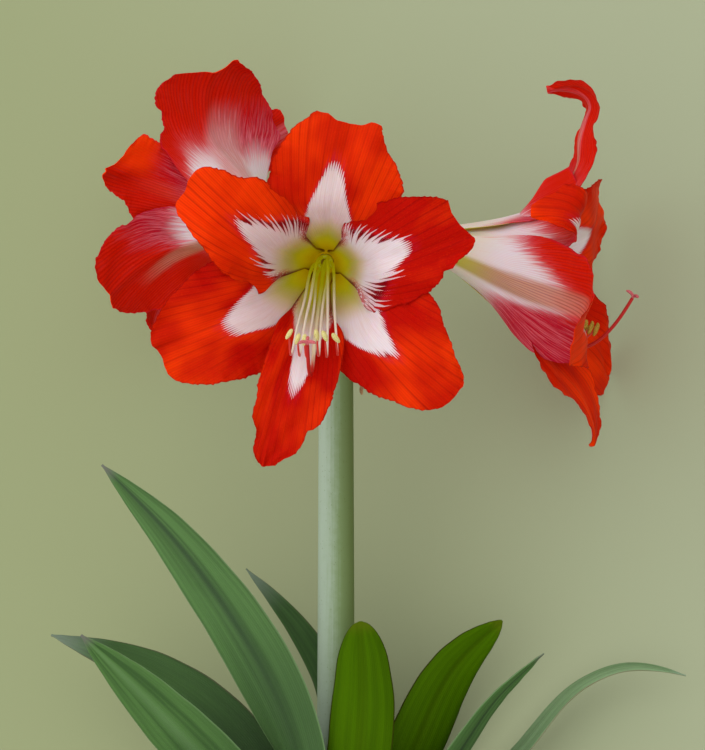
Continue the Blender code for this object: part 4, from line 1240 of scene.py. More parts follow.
FRONT = Bloom("front", 1, (-5.0, -54.0, 61.0), (-0.07, -0.983, -0.17), (
    Tepal(76, 146, (32, 34), rim=62, flare=88, tip=150, wave=1.5, blunt=2.8, cup=-0.002, outer=True, warm=0.28,
          star=curve(-100, 36, -60, 42, -42, 50, -30, 60, -22.5, 66, -17.5, 70.5, -10, 75.5, 3, 79, 11.5, 80, 20, 76,
          22.5, 70.5, 30, 64.5, 35, 57, 44, 50, 60, 42, 100, 36), left=curve(62, 100, 73, 105, 80, 91, 83.5, 79,
          87.5, 64.5, 91.5, 54.5, 95.5, 48), right=curve(62, 100, 72, 99.5, 79, 93, 83.5, 85, 88, 75, 91.5, 65,
          95, 54, 96.5, 46), crown=(0.948, 0.956, 0.94, 0.936, 0.931, 0.953, 0.955)),
    Tepal(203, 138, (30, 30), rim=58, flare=82, phase=40, blunt=2.6, cup=-0.001, outer=True, warm=0.25, skew=0.4,
          bright=-0.12, star=curve(-100, 36, -50, 43, -35, 50, -26, 56, -21, 61.5, -13.5, 66, -4, 71, 5, 73, 19, 73,
          36.5, 69, 39, 63, 44, 58.5, 49, 54, 54, 49, 65, 42, 100, 36), left=curve(62, 100, 72, 95.5, 81, 83,
          87, 70.5, 92, 55.5, 95, 45.5, 98, 30), right=curve(62, 110, 72, 104.5, 79.5, 97, 85.5, 89.5, 90.75, 79.5,
          94.5, 69.5, 97.5, 54.5, 98.8, 42), crown=(0.978, 0.99, 0.994, 0.986, 0.979, 0.985, 0.985)),
    Tepal(324, 142, (30, 27), rim=58, flare=82, phase=90, blunt=2.8, cup=-0.001, outer=True, skew=0.3, bright=-0.12,
          star=curve(-100, 36, -75, 42, -57, 52.5, -49.5, 61.5, -42, 67, -29.5, 74.5, -14.5, 76.5, -2, 72, 8, 66,
          18, 63, 35, 56, 50, 49, 80, 41, 100, 37), fringe=curve(-100, 30, -60, 46, -42, 63, -14.5, 72, 8, 61, 18, 57,
          35, 48, 50, 40, 80, 33, 100, 30), left=curve(62, 100, 72, 97, 76.5, 94, 82, 86.5, 86.25, 79, 90.75, 71.5,
          94.2, 64, 96.75, 54, 99.3, 41), right=curve(62, 112, 72, 112.5, 76, 106, 79.5, 93.5, 83.25, 78.5,
          87.3, 63.5, 91.5, 48.5, 96, 33.5, 99.3, 21), crown=(0.99, 1.0, 1.006, 1.004, 1.008, 1.002, 0.99)),
    Tepal(17, 135, (30, 29), rim=50, flare=76, phase=10, cup=0.004, skew=-0.9, bright=-0.7, star=curve(-100, 50,
          -77.5, 55.5, -67.5, 58.5, -55, 61.5, -42.5, 64.5, -32.5, 67, -20, 69, -7.5, 73, 0, 76.5, 15, 77.5, 30, 77,
          33, 72, 38, 69, 50, 63, 60, 59, 75, 50, 100, 42), fringe=curve(-100, 36, -70, 40, -47.5, 45, -37.5, 49.5,
          -30, 55.5, -20, 63, -7.5, 70, 0, 73, 25, 73, 30, 62, 34, 53, 45, 47, 65, 41, 100, 36), left=curve(48, 94.5,
          56, 88, 63, 82, 69, 79.5, 78, 70.5, 80, 67, 84.75, 54.5, 86, 43, 89.25, 42, 93, 32, 97.5, 22, 99, 16),
          right=curve(48, 85, 58.5, 91, 70, 100, 80, 99, 86.25, 90.5, 91.5, 83, 95, 72),
          crown=(0.99, 1.002, 1.003, 0.994, 0.966, 0.95, 0.9525)),
    Tepal(148, 130, (28, 27), rim=50, flare=80, tip=105, phase=60, cup=0.004, skew=1.0, warm=0.3, bright=0.4,
          star=curve(-100, 46, -86, 51, -71, 57, -46, 64.5, -43.5, 69, -38.5, 73.5, -28.5, 77, -18.5, 76, -8.5, 72,
          1.5, 67.5, 6.5, 63, 14, 61.5, 24, 58.5, 39, 52.5, 46.5, 48, 70, 43, 100, 38), fringe=curve(-100, 34,
          -60, 39, -42, 43, -36, 52, -33, 66, -25, 72, -8.5, 68, 5, 59, 16, 52, 29, 47, 44, 41, 70, 36, 100, 33),
          left=curve(42, 108, 55.5, 108, 66, 110, 73.5, 113, 77.25, 110.5, 80.25, 100, 84, 93, 87.75, 94, 91.5, 88,
          94.5, 80.5, 96.75, 70.5, 97.5, 62), right=curve(43.5, 92, 50, 97, 56.25, 92, 64.5, 79.5, 75, 64.5,
          77.25, 57, 81.75, 47, 86.25, 39.5, 90.75, 29.5, 94.5, 24.5, 97.8, 12),
          crown=(0.973, 0.979, 0.972, 0.979, 0.979, 0.978, 0.975)),
    Tepal(255, 152, (17, 24), rim=50, flare=74, tip=88, wave=1.5, phase=120, blunt=2.2, cup=0.004, warm=0.05,
          skew=-0.3, bright=-0.25, star=curve(-100, 33, -50, 40, -20, 50, -4, 60, 0.5, 67.5, 5.5, 72, 18, 75,
          30.5, 74, 38, 70, 42, 60, 50, 50, 70, 42, 100, 35), left=curve(62, 80, 72.75, 81.5, 75.75, 74, 80, 73,
          82.5, 71.5, 85.5, 64, 88.5, 46.5, 93.75, 44, 96.75, 31.5, 98.7, 17), right=curve(62, 103, 72, 103.5,
          77.25, 98.5, 82.5, 88.5, 84.75, 71, 89.25, 66, 93, 53.5, 96, 33.5, 98.25, 22),
          crown=(0.985, 0.99, 0.994, 0.9945, 0.99, 0.985, 0.982))),
    stalk=((0, -5.4, 50.9), (0, -5.6, 55), (-0.5, -9.5, 63), (-1.5, -19, 66.5)), style=((0, 0, 0.5), (0, -0.3, 9),
           (0, -5, 22), (0, -18, 50), (0, -35, 84), (0, -44, 102), (0, -39, 114), (0, -26, 120)))

RIGHT = Bloom("right", 2, (49.0, 4.0, 75.0), (0.95, -0.12, -0.27), (
    Tepal(92, 164, (25, 25), wave=2.0, waves=3.0, cup=0.006, outer=True, angles=curve(0, 10, 6.6, 24, 18.5, 24.5,
          29, 28, 40, 42, 51, 62, 59, 83, 64.7, 106, 71.1, 91, 77.2, 84, 82, 124, 86.8, 164, 92, 185, 97.3, 200,
          100, 205, scale=1), left=curve(50, 80, 62, 50, 68, 62, 73.5, 50, 79, 75, 87, 66, 94, 50, 99, 15),
          right=curve(50, 80, 62, 50, 69, 66, 74, 52, 80, 80, 88, 70, 94, 45, 99, 12), star=curve(-100, 30, 0, 42,
          100, 30), lobes=curve(-130, 20, 0, 42, 130, 20), band=0.4, twists=curve(30, 0, 52, 20, 70, 24, 80, 20,
          88, 14, 100, 10, scale=1)),
    Tepal(206, 159, (38, 36), wave=2.5, waves=2.6, phase=40, blunt=2.6, cup=0.003, outer=True, claw=1.5, rib=-0.35,
          opens=(0.2, 0.55), warm=0.3, band=1.05, angles=curve(0, 4, 6, 16, 15, 20, 35, 22.5, 52, 19, 63, 25, 69, 58,
          75, 88, 84, 102, 100, 108, scale=1), crown=(0.88, 0.88, 0.89, 0.9, 0.9, 0.89, 0.88), left=curve(50, 100,
          60, 100, 70, 90, 80, 60, 90, 40, 98, 20), right=curve(50, 100, 60, 95, 70, 74, 80, 50, 90, 32, 98, 16),
          lobes=curve(-130, 28, -100, 30, -80, 35, -60, 44, -40, 53, -20, 60, 0, 60, 10, 55, 20, 45, 35, 34, 70, 27,
          130, 22), twists=curve(40, 0, 66, 9, 100, 9, scale=1)),
    Tepal(328, 148, (30, 30), throat=24, turn=0.7, rim=44, flare=52, tip=66, wave=3, phase=90, outer=True,
          star=curve(-100, 36, 0, 50, 100, 36)),
    Tepal(34, 138, (29, 29), throat=22, funnel=26, rim=60, flare=92, tip=96, wave=3, phase=10, left=curve(50, 100,
          70, 95, 80, 85, 90, 75, 97, 50), twists=curve(50, 0, 75, -16, 100, -16, scale=1)),
    Tepal(150, 138, (40, 14), wave=1.0, phase=60, warm=0.28, opens=(0.28, 0.42), claw=1.6, angles=curve(0, 5, 6, 19,
          14, 22, 30, 25, 50, 27, 63, 50, 70, 85, 76, 150, 82, 200, 100, 212, scale=1), left=curve(37, 80, 40, 86,
          44, 128, 49, 144, 54, 122, 60, 90, 68, 66, 78, 54, 88, 54, 94, 52, 98.5, 42), right=curve(22, 100, 32, 70,
          42, 60, 52, 50, 75, 50, 88, 35, 96, 20), crown=(0.82, 0.86, 0.93, 0.925, 0.88, 0.84, 0.81),
          lobes=curve(-130, 18, -90, 28, -50, 42, 0, 56, 50, 56, 130, 40)),
    Tepal(266, 150, (22, 20), throat=24, funnel=28, rim=34, flare=42, tip=84, wave=3, phase=120, cup=0.004,
          star=curve(-100, 33, 0, 46, 100, 33), left=curve(40, 70, 50, 55, 58, 60, 68, 90, 78, 100, 88, 85, 95, 60,
          99, 30), twists=curve(40, 0, 62, 26, 80, 24, 100, 10, scale=1))),
    stalk=((4.7, 2.7, 50.9), (4.9, 2.8, 55), (9, 3.5, 66), (19, 4.4, 75)), style=((0, 0, 0.5), (0, -0.3, 9),
           (0, -5, 22), (0, -18.5, 52), (0, -32.5, 84), (0, -34, 100), (0, -20, 113), (0, 0, 120)), stamen_lift=3.0)

LEFT = Bloom("left", 3, (-27.0, 18.0, 84.0), (-0.7, 0.68, 0.2), (
    Tepal(90, 133, (37, 42), flare=84, rim=58, tip=140, wave=2, blunt=3.0, outer=True, rib=0.45, claw=1.5,
          opens=(0.25, 0.6), warm=0.35, left=curve(55, 110, 62, 102, 66.5, 88, 72, 88, 76.5, 108, 80, 108, 85.5, 97,
          90, 82, 92.25, 68), right=curve(40, 130, 52, 136, 62, 136, 70, 134, 79, 132, 83, 125, 87.75, 110, 93, 90,
          97.5, 70, 102, 45, 104.7, 30), crown=(0.915, 0.925, 0.935, 0.95, 1.0, 1.06, 1.04), band=1.9,
          lobes=curve(-130, 28, -90, 40, -75, 50, -50, 56, -30, 58, -15, 59, 0, 61, 15, 64, 30, 66, 40, 61, 48, 52,
          60, 57, 75, 60, 90, 59, 110, 55, 130, 50)),
    Tepal(201, 135, (30, 30), rim=46, flare=60, tip=80, phase=40, outer=True),
    Tepal(313, 126, (27, 34), rim=52, flare=74, tip=98, phase=90, blunt=2.6, outer=True, rib=-0.45, warm=0.3,
          lobes=curve(-130, 26, -70, 32, -40, 38, -20, 44, 0, 50, 20, 53, 45, 52, 70, 48, 100, 43, 130, 40),
          left=curve(45, 115, 60, 135, 70, 140, 80, 125, 90, 95, 95, 70, 98.5, 45), right=curve(50, 100, 60, 93,
          68, 82, 74, 84, 84, 80, 92, 70, 98, 50), crown=(0.97, 1.0, 0.99, 0.975, 0.98, 0.985, 0.98)),
    Tepal(13, 119, (27, 25), rim=52, flare=80, tip=112, wave=3, phase=10, cup=0.004, curl=(0.0, -0.02),
          opens=(0.45, 0.75), bright=0.8, warm=0.2, lobes=curve(-130, 20, -50, 34, 0, 40, 50, 34, 130, 20),
          left=curve(50, 100, 65, 90, 75, 72, 82, 50, 90, 40, 97, 30), right=curve(40, 75, 50, 65, 62, 72, 70, 95,
          78, 105, 81, 110, 86, 75, 91, 56, 97, 42), crown=(0.92, 0.96, 0.99, 1.0, 0.92, 0.88, 0.86)),
    Tepal(146, 140, (22, 20), rim=66, flare=95, tip=110, phase=60, cup=0.004,
          crown=(0.95, 0.95, 0.94, 0.94, 0.94, 0.95, 0.95)),
    Tepal(264, 136, (20, 20), rim=44, flare=60, tip=80, wave=1.5, phase=120, cup=0.004)),
    stalk=((-4.7, 2.7, 50.9), (-4.8, 2.9, 55), (-6.5, 4.5, 65)), style=((0, 0, 0.5), (0, -0.3, 9), (0, -5, 22),
           (0, -18.5, 52), (0, -33, 84), (0, -37, 100), (0, -30, 112), (0, -18, 118)))


@dataclass
class Perianth:
    """Six petals of a bloom and the short tube that they grow from."""
    bloom: Bloom
    inner: bpy.types.Material
    outer: bpy.types.Material
    tube_wall: float = 3.2
    tube_height: float = 9.0
    seat_gap: float = 0.3
    sides: int = 48

    def add_tube(self, parts: MeshParts) -> None:
        """Add the tube's closed wall."""
        shape = TepalShape(self.bloom, self.bloom.tepals[0], 0)
        share = np.linspace(0.0, self.tube_height / self.bloom.tepals[0].length, 6)
        radius, height, _ = shape.profile(share)
        half = self.tube_wall / 2
        radii = np.concatenate([radius + half, radius[::-1] - half])[:, None]
        level = np.concatenate([height, height[::-1]])[:, None]
        angle = around(self.sides)
        flutes = np.cos(6 * angle)
        rings = self.bloom.inside(rings_of(radii * (1.0 + 0.03 * flutes), level + self.seat_gap, angle))
        numbers = {"along": level / self.bloom.tepals[0].length, "star": -1.0, "fringe": -0.9, "back": -1.0,
                   "seed": self.bloom.seed, **dict.fromkeys(("across", "offset", "fan", "rib"), flutes * 0.2)}
        parts.add_turned(rings, [1] * 5 + [0] * 7, numbers, closed=True)

    def build(self) -> bpy.types.Object:
        """Make the perianth, which stands for its node."""
        parts = MeshParts()
        for number, tepal in enumerate(self.bloom.tepals):
            TepalShape(self.bloom, tepal, number).add_to(parts)
        self.add_tube(parts)
        piece = parts.object(f"{self.bloom.name}_petals", (self.inner, self.outer), sharp=75.0)
        return settle(piece, "petal", f"{self.bloom.name}_perianth")


@dataclass
class Stamens:
    """Six filaments with their anthers and pollen."""
    bloom: Bloom
    filament: bpy.types.Material
    anther: bpy.types.Material
    pollen: bpy.types.Material
    ring_height: tuple[float, float] = (5.0, 8.0)
    ring_radii: tuple[float, float] = (2.3, 4.3)
    lanes: tuple[float, ...] = (12.5, 7.5, -6.5, -11.0, -2.8, 3.2)
    radii: tuple[float, float] = (0.9, 0.5)
    anther_size: tuple[float, float] = (3.0, 1.4)
    samples: int = 64
    ring_sides: int = 48

    def line(self, number: int) -> np.ndarray:
        """Middle line of one filament."""
        azimuth = math.radians(60 * number)
        middle = sum(self.ring_radii) / 2
        x, y = middle * math.cos(azimuth), middle * math.sin(azimuth)
        lane = self.lanes[number]
        lift = self.bloom.stamen_lift
        longer = (number * 2 % 3) * 3.0
        bends = [(x, y, self.ring_height[0] + 1.0), (x * 1.7, y * 1.1 - 0.5, 22.0),
                 (x * 0.5 + lane * 0.5, y * 0.5 - 12.5, 48.0), (lane * 0.9, y * 0.3 - 29.0, 80.0),
                 (lane, lift - 36.0, 90.0 + longer), (lane, lift - 26.0 + number % 2 * 2.0, 99.0 + longer)]
        return spline(self.bloom.inside(bends), self.samples)[0]

    def add_anther(self, parts: MeshParts, tip: np.ndarray, lane: float) -> None:
        """Add a grooved anther that swings on the filament's tip, across it."""
        _, side, up, axis = self.bloom.frame()
        tilt = math.radians(3 * lane)
        along = unit(-math.sin(tilt) * side + math.cos(tilt) * up)
        long_half, round_half = self.anther_size
        share = np.linspace(-1.0, 1.0, 17)
        bow = 0.5 * (1 - share ** 2)
        points = tip + share[:, None] * long_half * along + bow[:, None] * axis
        radii = round_half * np.sqrt(np.maximum(1 - share ** 2 * 0.985, 0.0)) * (1 + 0.12 * share)
        parts.add_tube(points, np.maximum(radii, 0.12), 20, 1, {"along": (share + 1) / 2},
                       lambda angle: 1.0 - 0.22 * np.abs(np.cos(angle)) ** 6)

    def build(self) -> bpy.types.Object:
        """Make the filaments, their ring and the anthers."""
        parts = MeshParts()
        share = np.linspace(0.0, 1.0, self.samples)
        radii = self.radii[0] + (self.radii[1] - self.radii[0]) * share
        radii = radii * (1 - 0.45 * ease(0.94, 1.0, share))
        for number, lane in enumerate(self.lanes):
            points = self.line(number)
            parts.add_tube(points, radii, 14, 0, {"along": share})
            self.add_anther(parts, points[-1], lane)
        self.add_ring(parts)
        piece = parts.object(f"{self.bloom.name}_filaments", (self.filament, self.anther))
        return settle(piece, "stamen", f"{self.bloom.name}_stamens")

    def dust(self, grains: GrainScatter) -> bpy.types.Object:
        """Make the grains of pollen on the anthers."""
        parts = MeshParts()
        for number, lane in enumerate(self.lanes):
            self.add_anther(parts, self.line(number)[-1], lane)
        base = parts.object("anthers", ())
        return settle(grains.strew(f"{self.bloom.name}_pollen", base, self.pollen, 0.13, 3.5), "stamen")

    def add_ring(self, parts: MeshParts) -> None:
        """Add the low ring that the filaments grow from."""
        low, high = self.ring_height
        inner, outer = self.ring_radii
        outline = [(outer, low), (outer + 0.2, high - 0.6), (outer - 0.4, high), (inner + 0.4, high),
                   (inner, high - 0.6), (inner, low)]
        radii, heights = np.array(outline).T[..., None]
        angle = around(self.ring_sides)
        rings = self.bloom.inside(rings_of(radii, heights, angle))
        parts.add_turned(rings, 0, {"along": 0.0, "round": angle / TURN}, closed=True)


@dataclass
class Style:
    """The style with its stigma of three lobes."""
    bloom: Bloom
    skin: bpy.types.Material
    stigma: bpy.types.Material
    radius: float = 1.05
    lobe: float = 6.2
    samples: int = 72
    lobe_samples: int = 14

    def build(self, grains: GrainScatter) -> None:
        """Make the style with its lobes, and the sticky papillae on the lobes."""
        parts, lobes = MeshParts(), MeshParts()
        points, _ = spline(self.bloom.inside(self.bloom.style), self.samples)
        share = np.linspace(0.0, 1.0, self.samples)
        parts.add_tube(points, self.radius * (1.15 - 0.25 * share), 16, 0, {"along": share})
        self.add_lobes(parts, points)
        self.add_lobes(lobes, points)
        settle(parts.object(f"{self.bloom.name}_pistil", (self.skin, self.stigma)), "style",
               f"{self.bloom.name}_style")
        settle(grains.strew(f"{self.bloom.name}_papillae", lobes.object("lobes", ()), self.stigma, 0.12, 5.0), "style")

    def add_lobes(self, parts: MeshParts, points: np.ndarray) -> None:
        """Add the stigma's three lobes at the end of the style's line."""
        end, heading = points[-1], unit(points[-1] - points[-2])
        _, side, _, _ = self.bloom.frame()
        beside = unit(side - side.dot(heading) * heading)
        over = np.cross(heading, beside)
        for number in range(3):
            angle = math.radians(90 + 120 * number)
            out = math.cos(angle) * beside + math.sin(angle) * over
            bends = [end - 1.5 * heading, end + 1.0 * heading + 0.3 * out,
                     end + self.lobe * (0.40 * out + 0.34 * heading), end + self.lobe * (0.82 * out + 0.30 * heading)]
            line, _ = spline(bends, self.lobe_samples)
            part = np.linspace(0.0, 1.0, self.lobe_samples)
            radii = 0.62 + 0.25 * np.sin(math.pi * part ** 1.5) - 0.35 * ease(0.85, 1.0, part)
            parts.add_tube(line, radii, 12, 1, {"along": part})


@dataclass
class Pedicel:
    """The stalk of one bloom, swelling into the three-furrowed ovary."""
    bloom: Bloom
    skin: bpy.types.Material
    radius: float = 4.0
    ovary_length: float = 17.0
    ovary_radius: float = 6.6
    samples: int = 60
    sides: int = 36

    def build(self) -> bpy.types.Object:
        """Make the stalk and ovary."""
        foot, _, _, axis = self.bloom.frame()
        route = [*self.bloom.stalk, foot - (self.ovary_length + 4) * axis, foot - self.ovary_length / 2 * axis, foot]
        points, length = spline(route, self.samples)
        left = np.linspace(length, 0.0, self.samples)
        swell = np.exp(-((left - 0.45 * self.ovary_length) / (0.42 * self.ovary_length)) ** 2)
        collar = ease(5.0, 0.0, left)
        radii = self.radius + (self.ovary_radius - self.radius) * np.maximum(swell, collar)
        parts = MeshParts()
        parts.add_tube(points, radii, self.sides, 0, {"along": 1 - left / length},
                       lambda angle: 1.0 - 0.07 * np.abs(np.cos(1.5 * angle)) ** 8)
        return settle(parts.object(f"{self.bloom.name}_ovary", (self.skin,)), "stalk", f"{self.bloom.name}_pedicel")


@dataclass(frozen=True)
class Leaf:
    """One strap leaf: its place in the nest of leaf bases, and the line that its midrib follows."""
    name: str
    level: int
    azimuth: float
    half_width: float
    face: Triple
    path: tuple[Triple, ...]
    taper: float = 0.55
    point: tuple[float, float] = (1.8, 1.15)
    faces_by: float = 0.55


LEAVES = (
    Leaf("leaf_left_tall", 2, 150, 18.5, (-0.45, -0.9, 0.25),
         ((-22, -22, -204), (-56, -27, -134), (-93, -25, -85), (-129, -14, -49.5))),
    Leaf("leaf_left_low_front", 4, 162, 20.0, (-0.6, -0.6, 0.4),
         ((-77, -28, -204), (-112, -36, -166), (-138, -38, -141))),
    Leaf("leaf_left_low_back", 3, 212, 18.0, (0.3, 0.6, -0.6),
         ((-48, 14, -218), (-86, 28, -181), (-125, 38, -161), (-163, 43, -149))),
    Leaf("leaf_behind_scape", 1, 252, 11.0, (0.6, 0.8, -0.2),
         ((-4.5, 22, -172), (-24.5, 27, -139), (-51, 34, -110))),
    Leaf("leaf_front_blunt", 1, 90, 18.0, (0.0, -1.0, 0.1),
         ((13, -24, -205), (15, -28, -165), (13.5, -33, -134)), taper=0.6, point=(3.0, 2.0)),
    Leaf("leaf_right_broad", 2, 324, 18.0, (0.35, -0.9, -0.2),
         ((45, 2, -206), (67, -4, -161), (92, -8, -136)), taper=0.6, point=(2.3, 1.5)),
    Leaf("leaf_right_narrow", 3, 20, 15.0, (0.8, -0.5, -0.4),
         ((69, -5, -208), (88, -9, -180), (115, -12, -154))),
    Leaf("leaf_right_arching", 4, 345, 9.5, (0.5, 0.3, -0.8),
         ((104, 4, -208), (133, 2, -175), (164, -4, -162), (193, -10, -166.5)), faces_by=0.46),
)


@dataclass
class LeafBlade:
    """A strap leaf, thick at its base in the neck and thin toward the tip."""
    leaf: Leaf
    skin: bpy.types.Material
    flesh: bpy.types.Material
    seed: int
    rows: int = 170
    columns: int = 26
    blade_share: float = 0.62
    blade_bend: float = 0.012
    keel: tuple[float, float] = (0.8, 4.0)
    ribs: tuple[float, float] = (0.10, 2.1)

    def points(self, t: np.ndarray, v: np.ndarray) -> tuple[np.ndarray, np.ndarray, np.ndarray]:
        """Middle points, the facing direction and the height above the cut.

        Args:
            t: Shares of the length, from the cut to the tip.
            v: Shares of the half width, from -1 to 1.
        """
        leaf = self.leaf
        nest = PLANT.nest_radius(leaf.level)
        azimuth = math.radians(leaf.azimuth)
        out = np.array([math.cos(azimuth), -math.sin(azimuth), 0.0])
        base = nest * out + PLANT.cut_z * UP
        line, length = spline([base + PLANT.neck_height * UP, *leaf.path], 200, heading=UP)
        line = np.vstack([base, line])
        total = PLANT.neck_height + length
        fine = np.concatenate([[0.0], PLANT.neck_height + np.linspace(0.0, length, 200)]) / total
        tangents = unit(np.gradient(line, axis=0))
        tangents[0] = UP
        neck = fine[1]
        turned = ease(neck + 0.08, leaf.faces_by, fine)[:, None]
        faces = unit(out * (1 - turned) + unit(np.array(leaf.face)) * turned)
        faces = unit(faces - (faces * tangents).sum(axis=-1, keepdims=True) * tangents)
        across = np.cross(tangents, faces)

        def at(values: np.ndarray) -> np.ndarray:
            """Three numbers of the midrib at each share of the length."""
            return np.stack([np.interp(t, fine, values[:, k]) for k in range(3)], axis=-1)

        base_half = PLANT.base_half(leaf.level)
        half = base_half + (leaf.half_width - base_half) * ease(neck + 0.05, 0.5, t)
        past = np.clip((t - leaf.taper) / (1 - leaf.taper), 0.0, 1.0)
        half = half * np.maximum((1 - past ** leaf.point[0]) ** (1 / leaf.point[1]), 0.04)
        half = half * (1 + 0.012 * ease(0.3, 0.6, t) * wander(t + 0.2 * np.sign(v), self.seed, 4.0, 3))
        bend = 1 / nest + (self.blade_bend - 1 / nest) * ease(neck + 0.05, 0.5, t)
        reach = half * v
        lift = -(1 - np.cos(bend * reach)) / bend
        keel_depth, keel_reach = self.keel
        rib_height, rib_pace = self.ribs
        lift = lift - keel_depth * ease(neck, 0.4, t) * np.exp(-(reach / keel_reach) ** 2)
        lift = lift + rib_height * ease(neck, 0.4, t) * np.cos(reach * rib_pace)
        place = at(line) + (np.sin(bend * reach) / bend)[:, None] * at(across) + lift[:, None] * at(faces)
        return place, at(faces), place[:, 2] - PLANT.cut_z

    def build(self) -> bpy.types.Object:
        """Make the leaf, which stands for its node."""
        t = 1 - (1 - np.linspace(0.0, 1.0, self.rows)) ** 1.05
        grid_t, grid_v = np.meshgrid(t, crowded(self.columns, 1.35), indexing="ij")
        flat_t, flat_v = grid_t.reshape(-1), grid_v.reshape(-1)
        place, faces, height = self.points(flat_t, flat_v)
        base = 1 - ease(PLANT.neck_height, 3.5 * PLANT.neck_height, height)
        thick = PLANT.base_thickness * (self.blade_share + (1 - self.blade_share) * base)
        round_edge = np.sqrt(np.maximum(1 - np.abs(flat_v) ** 6, 0.03))
        thick = thick * (round_edge * (1 - base) + base)
        thick = thick * (1 - 0.5 * ease(0.9, 1.0, flat_t))
        numbers = {"along": flat_t, "across": flat_v, "seed": np.full(flat_t.shape, self.seed * 2.3)}
        parts = MeshParts()
        parts.add_sheet(grid_t.shape, place, thick, faces, numbers, slots=(0, 0))
        piece = parts.object(self.leaf.name.replace("leaf_", "blade_"), (self.skin, self.flesh))
        return settle(piece, "leaf", self.leaf.name)


@dataclass
class Scape:
    """The hollow flower stalk with the head that carries the blooms."""
    skin: bpy.types.Material
    flesh: bpy.types.Material
    hollow: float = 6.4
    depth: float = 26.0
    bands: int = 40
    sides: int = 72

    def build(self) -> bpy.types.Object:
        """Make the stalk with its hollow cut end."""
        cut, top = PLANT.cut_z, PLANT.scape_top
        foot = top - PLANT.head_height
        hole = [(0.05, cut + self.depth), (self.hollow * 0.8, cut + self.depth - 2.0), (self.hollow, cut + 12.0),
                (self.hollow, cut + 0.4), (self.hollow + 0.4, cut), (PLANT.scape_radius_cut - 0.5, cut)]
        side = [(PLANT.scape_radius_cut + (PLANT.scape_radius_top - PLANT.scape_radius_cut) * share,
                 cut + 0.5 + (foot - cut - 0.5) * share) for share in np.linspace(0.0, 1.0, self.bands)]
        head = [(PLANT.head_radius - 0.25, top - 4.5), (PLANT.head_radius, top - 2.5),
                (PLANT.head_radius - 1.0, top), (4.0, top + 0.3), (0.05, top + 0.4)]
        radii, heights = np.array(hole + side + head).T[..., None]
        slots = [1] * (len(hole) - 1) + [0] * (len(side) + len(head))
        angle = around(self.sides)
        wobble = 0.008 * np.cos(2 * angle + heights / 90.0) + 0.004 * np.cos(9 * angle + heights / 140.0)
        rings = rings_of(radii * (1 + wobble * (radii > self.hollow + 1.0)), heights, angle)
        parts = MeshParts()
        parts.add_turned(rings, slots, {"along": (heights - cut) / (top - cut), "round": angle / TURN})
        return settle(parts.object("stalk", (self.skin, self.flesh), sharp=50.0), "scape", "scape")


@dataclass
class NeckSleeve:
    """Sleeve of old leaf bases round the neck: dry outside, moist and layered where it is cut."""
    skin: bpy.types.Material
    flesh: bpy.types.Material
    sides: int = 160

    def build(self) -> bpy.types.Object:
        """Make the sleeve with its torn upper rim and the flat that the plant rests on."""
        inner, outer = PLANT.sleeve_radii()
        cut, top = PLANT.cut_z, PLANT.cut_z + PLANT.neck_height
        angle = around(self.sides)
        torn = 1.2 * wander(angle / TURN, 71, 5.0) - 1.6
        outline = [(outer, cut, 0.0), (outer, cut + 1.0, 0.0)]
        outline += [(outer, cut + share * (PLANT.neck_height - 3.0), 0.0) for share in np.linspace(0.1, 0.85, 7)]
        outline += [(outer - 0.2, top - 2.5, 1.0), (outer - 0.8, top, 1.0), (inner + 0.7, top, 1.0),
                    (inner, top - 1.5, 1.0), (inner, cut, 0.0)]
        crease = 0.006 * np.abs(np.sin(angle * 11 + 2 * wander(angle / 6.3, 5, 2.0))) ** 3
        radii, heights, rims = np.array(outline).T[..., None]
        rings = rings_of(radii * (1 - crease * (radii > inner + 1.0)), heights + rims * torn, angle)
        sunk = np.minimum(PLANT.place(rings)[..., 2:], 0.0)
        rings = rings - sunk * np.array(PLANT.matrix())[2, :3] / MM
        parts = MeshParts()
        parts.add_turned(rings, [0] * (len(outline) - 1) + [1],
                         {"along": (heights - cut) / PLANT.neck_height, "across": angle / math.pi - 1.0}, closed=True)
        return settle(parts.object("neck", (self.skin, self.flesh), sharp=40.0), "papery", "neck_sleeve")


@dataclass
class CutBundles:
    """Vein ends that show as small darker dots where the stalk and the leaf bases are cut."""
    material: bpy.types.Material
    radius: float = 0.33
    flatness: float = 0.3
    leaf_dots: int = 13
    stalk_rings: tuple[tuple[float, int, float], ...] = ((7.7, 22, 0.0), (8.9, 28, 0.1), (10.2, 34, 0.05))

    def places(self) -> np.ndarray:
        """Where the dots lie on the cut, as grown: rings in the stalk, and a row in each leaf base."""
        dots = []
        for ring, count, shift in self.stalk_rings:
            dots += [(ring * math.cos(turn), ring * math.sin(turn)) for turn in around(count) + shift]
        for leaf in LEAVES:
            nest = PLANT.nest_radius(leaf.level)
            half = 0.9 * PLANT.base_half(leaf.level) / nest
            for turn in -math.radians(leaf.azimuth) + np.linspace(-half, half, self.leaf_dots):
                dots.append((nest * math.cos(turn), nest * math.sin(turn)))
        return np.array([(x, y, PLANT.cut_z) for x, y in dots])

    def build(self) -> bpy.types.Object:
        """Make the dots, which stand a hair proud of the cut."""
        mesh = bpy.data.meshes.new("bundle_places")
        mesh.from_pydata(PLANT.place(self.places()).tolist(), [], [])
        dots = GrainScatter("grains_set", False).strew("cut_bundles", linked("bundle_places", mesh), self.material,
                                                       self.radius, shape=(1.0, 1.0, self.flatness))
        return settle(dots, "scape")


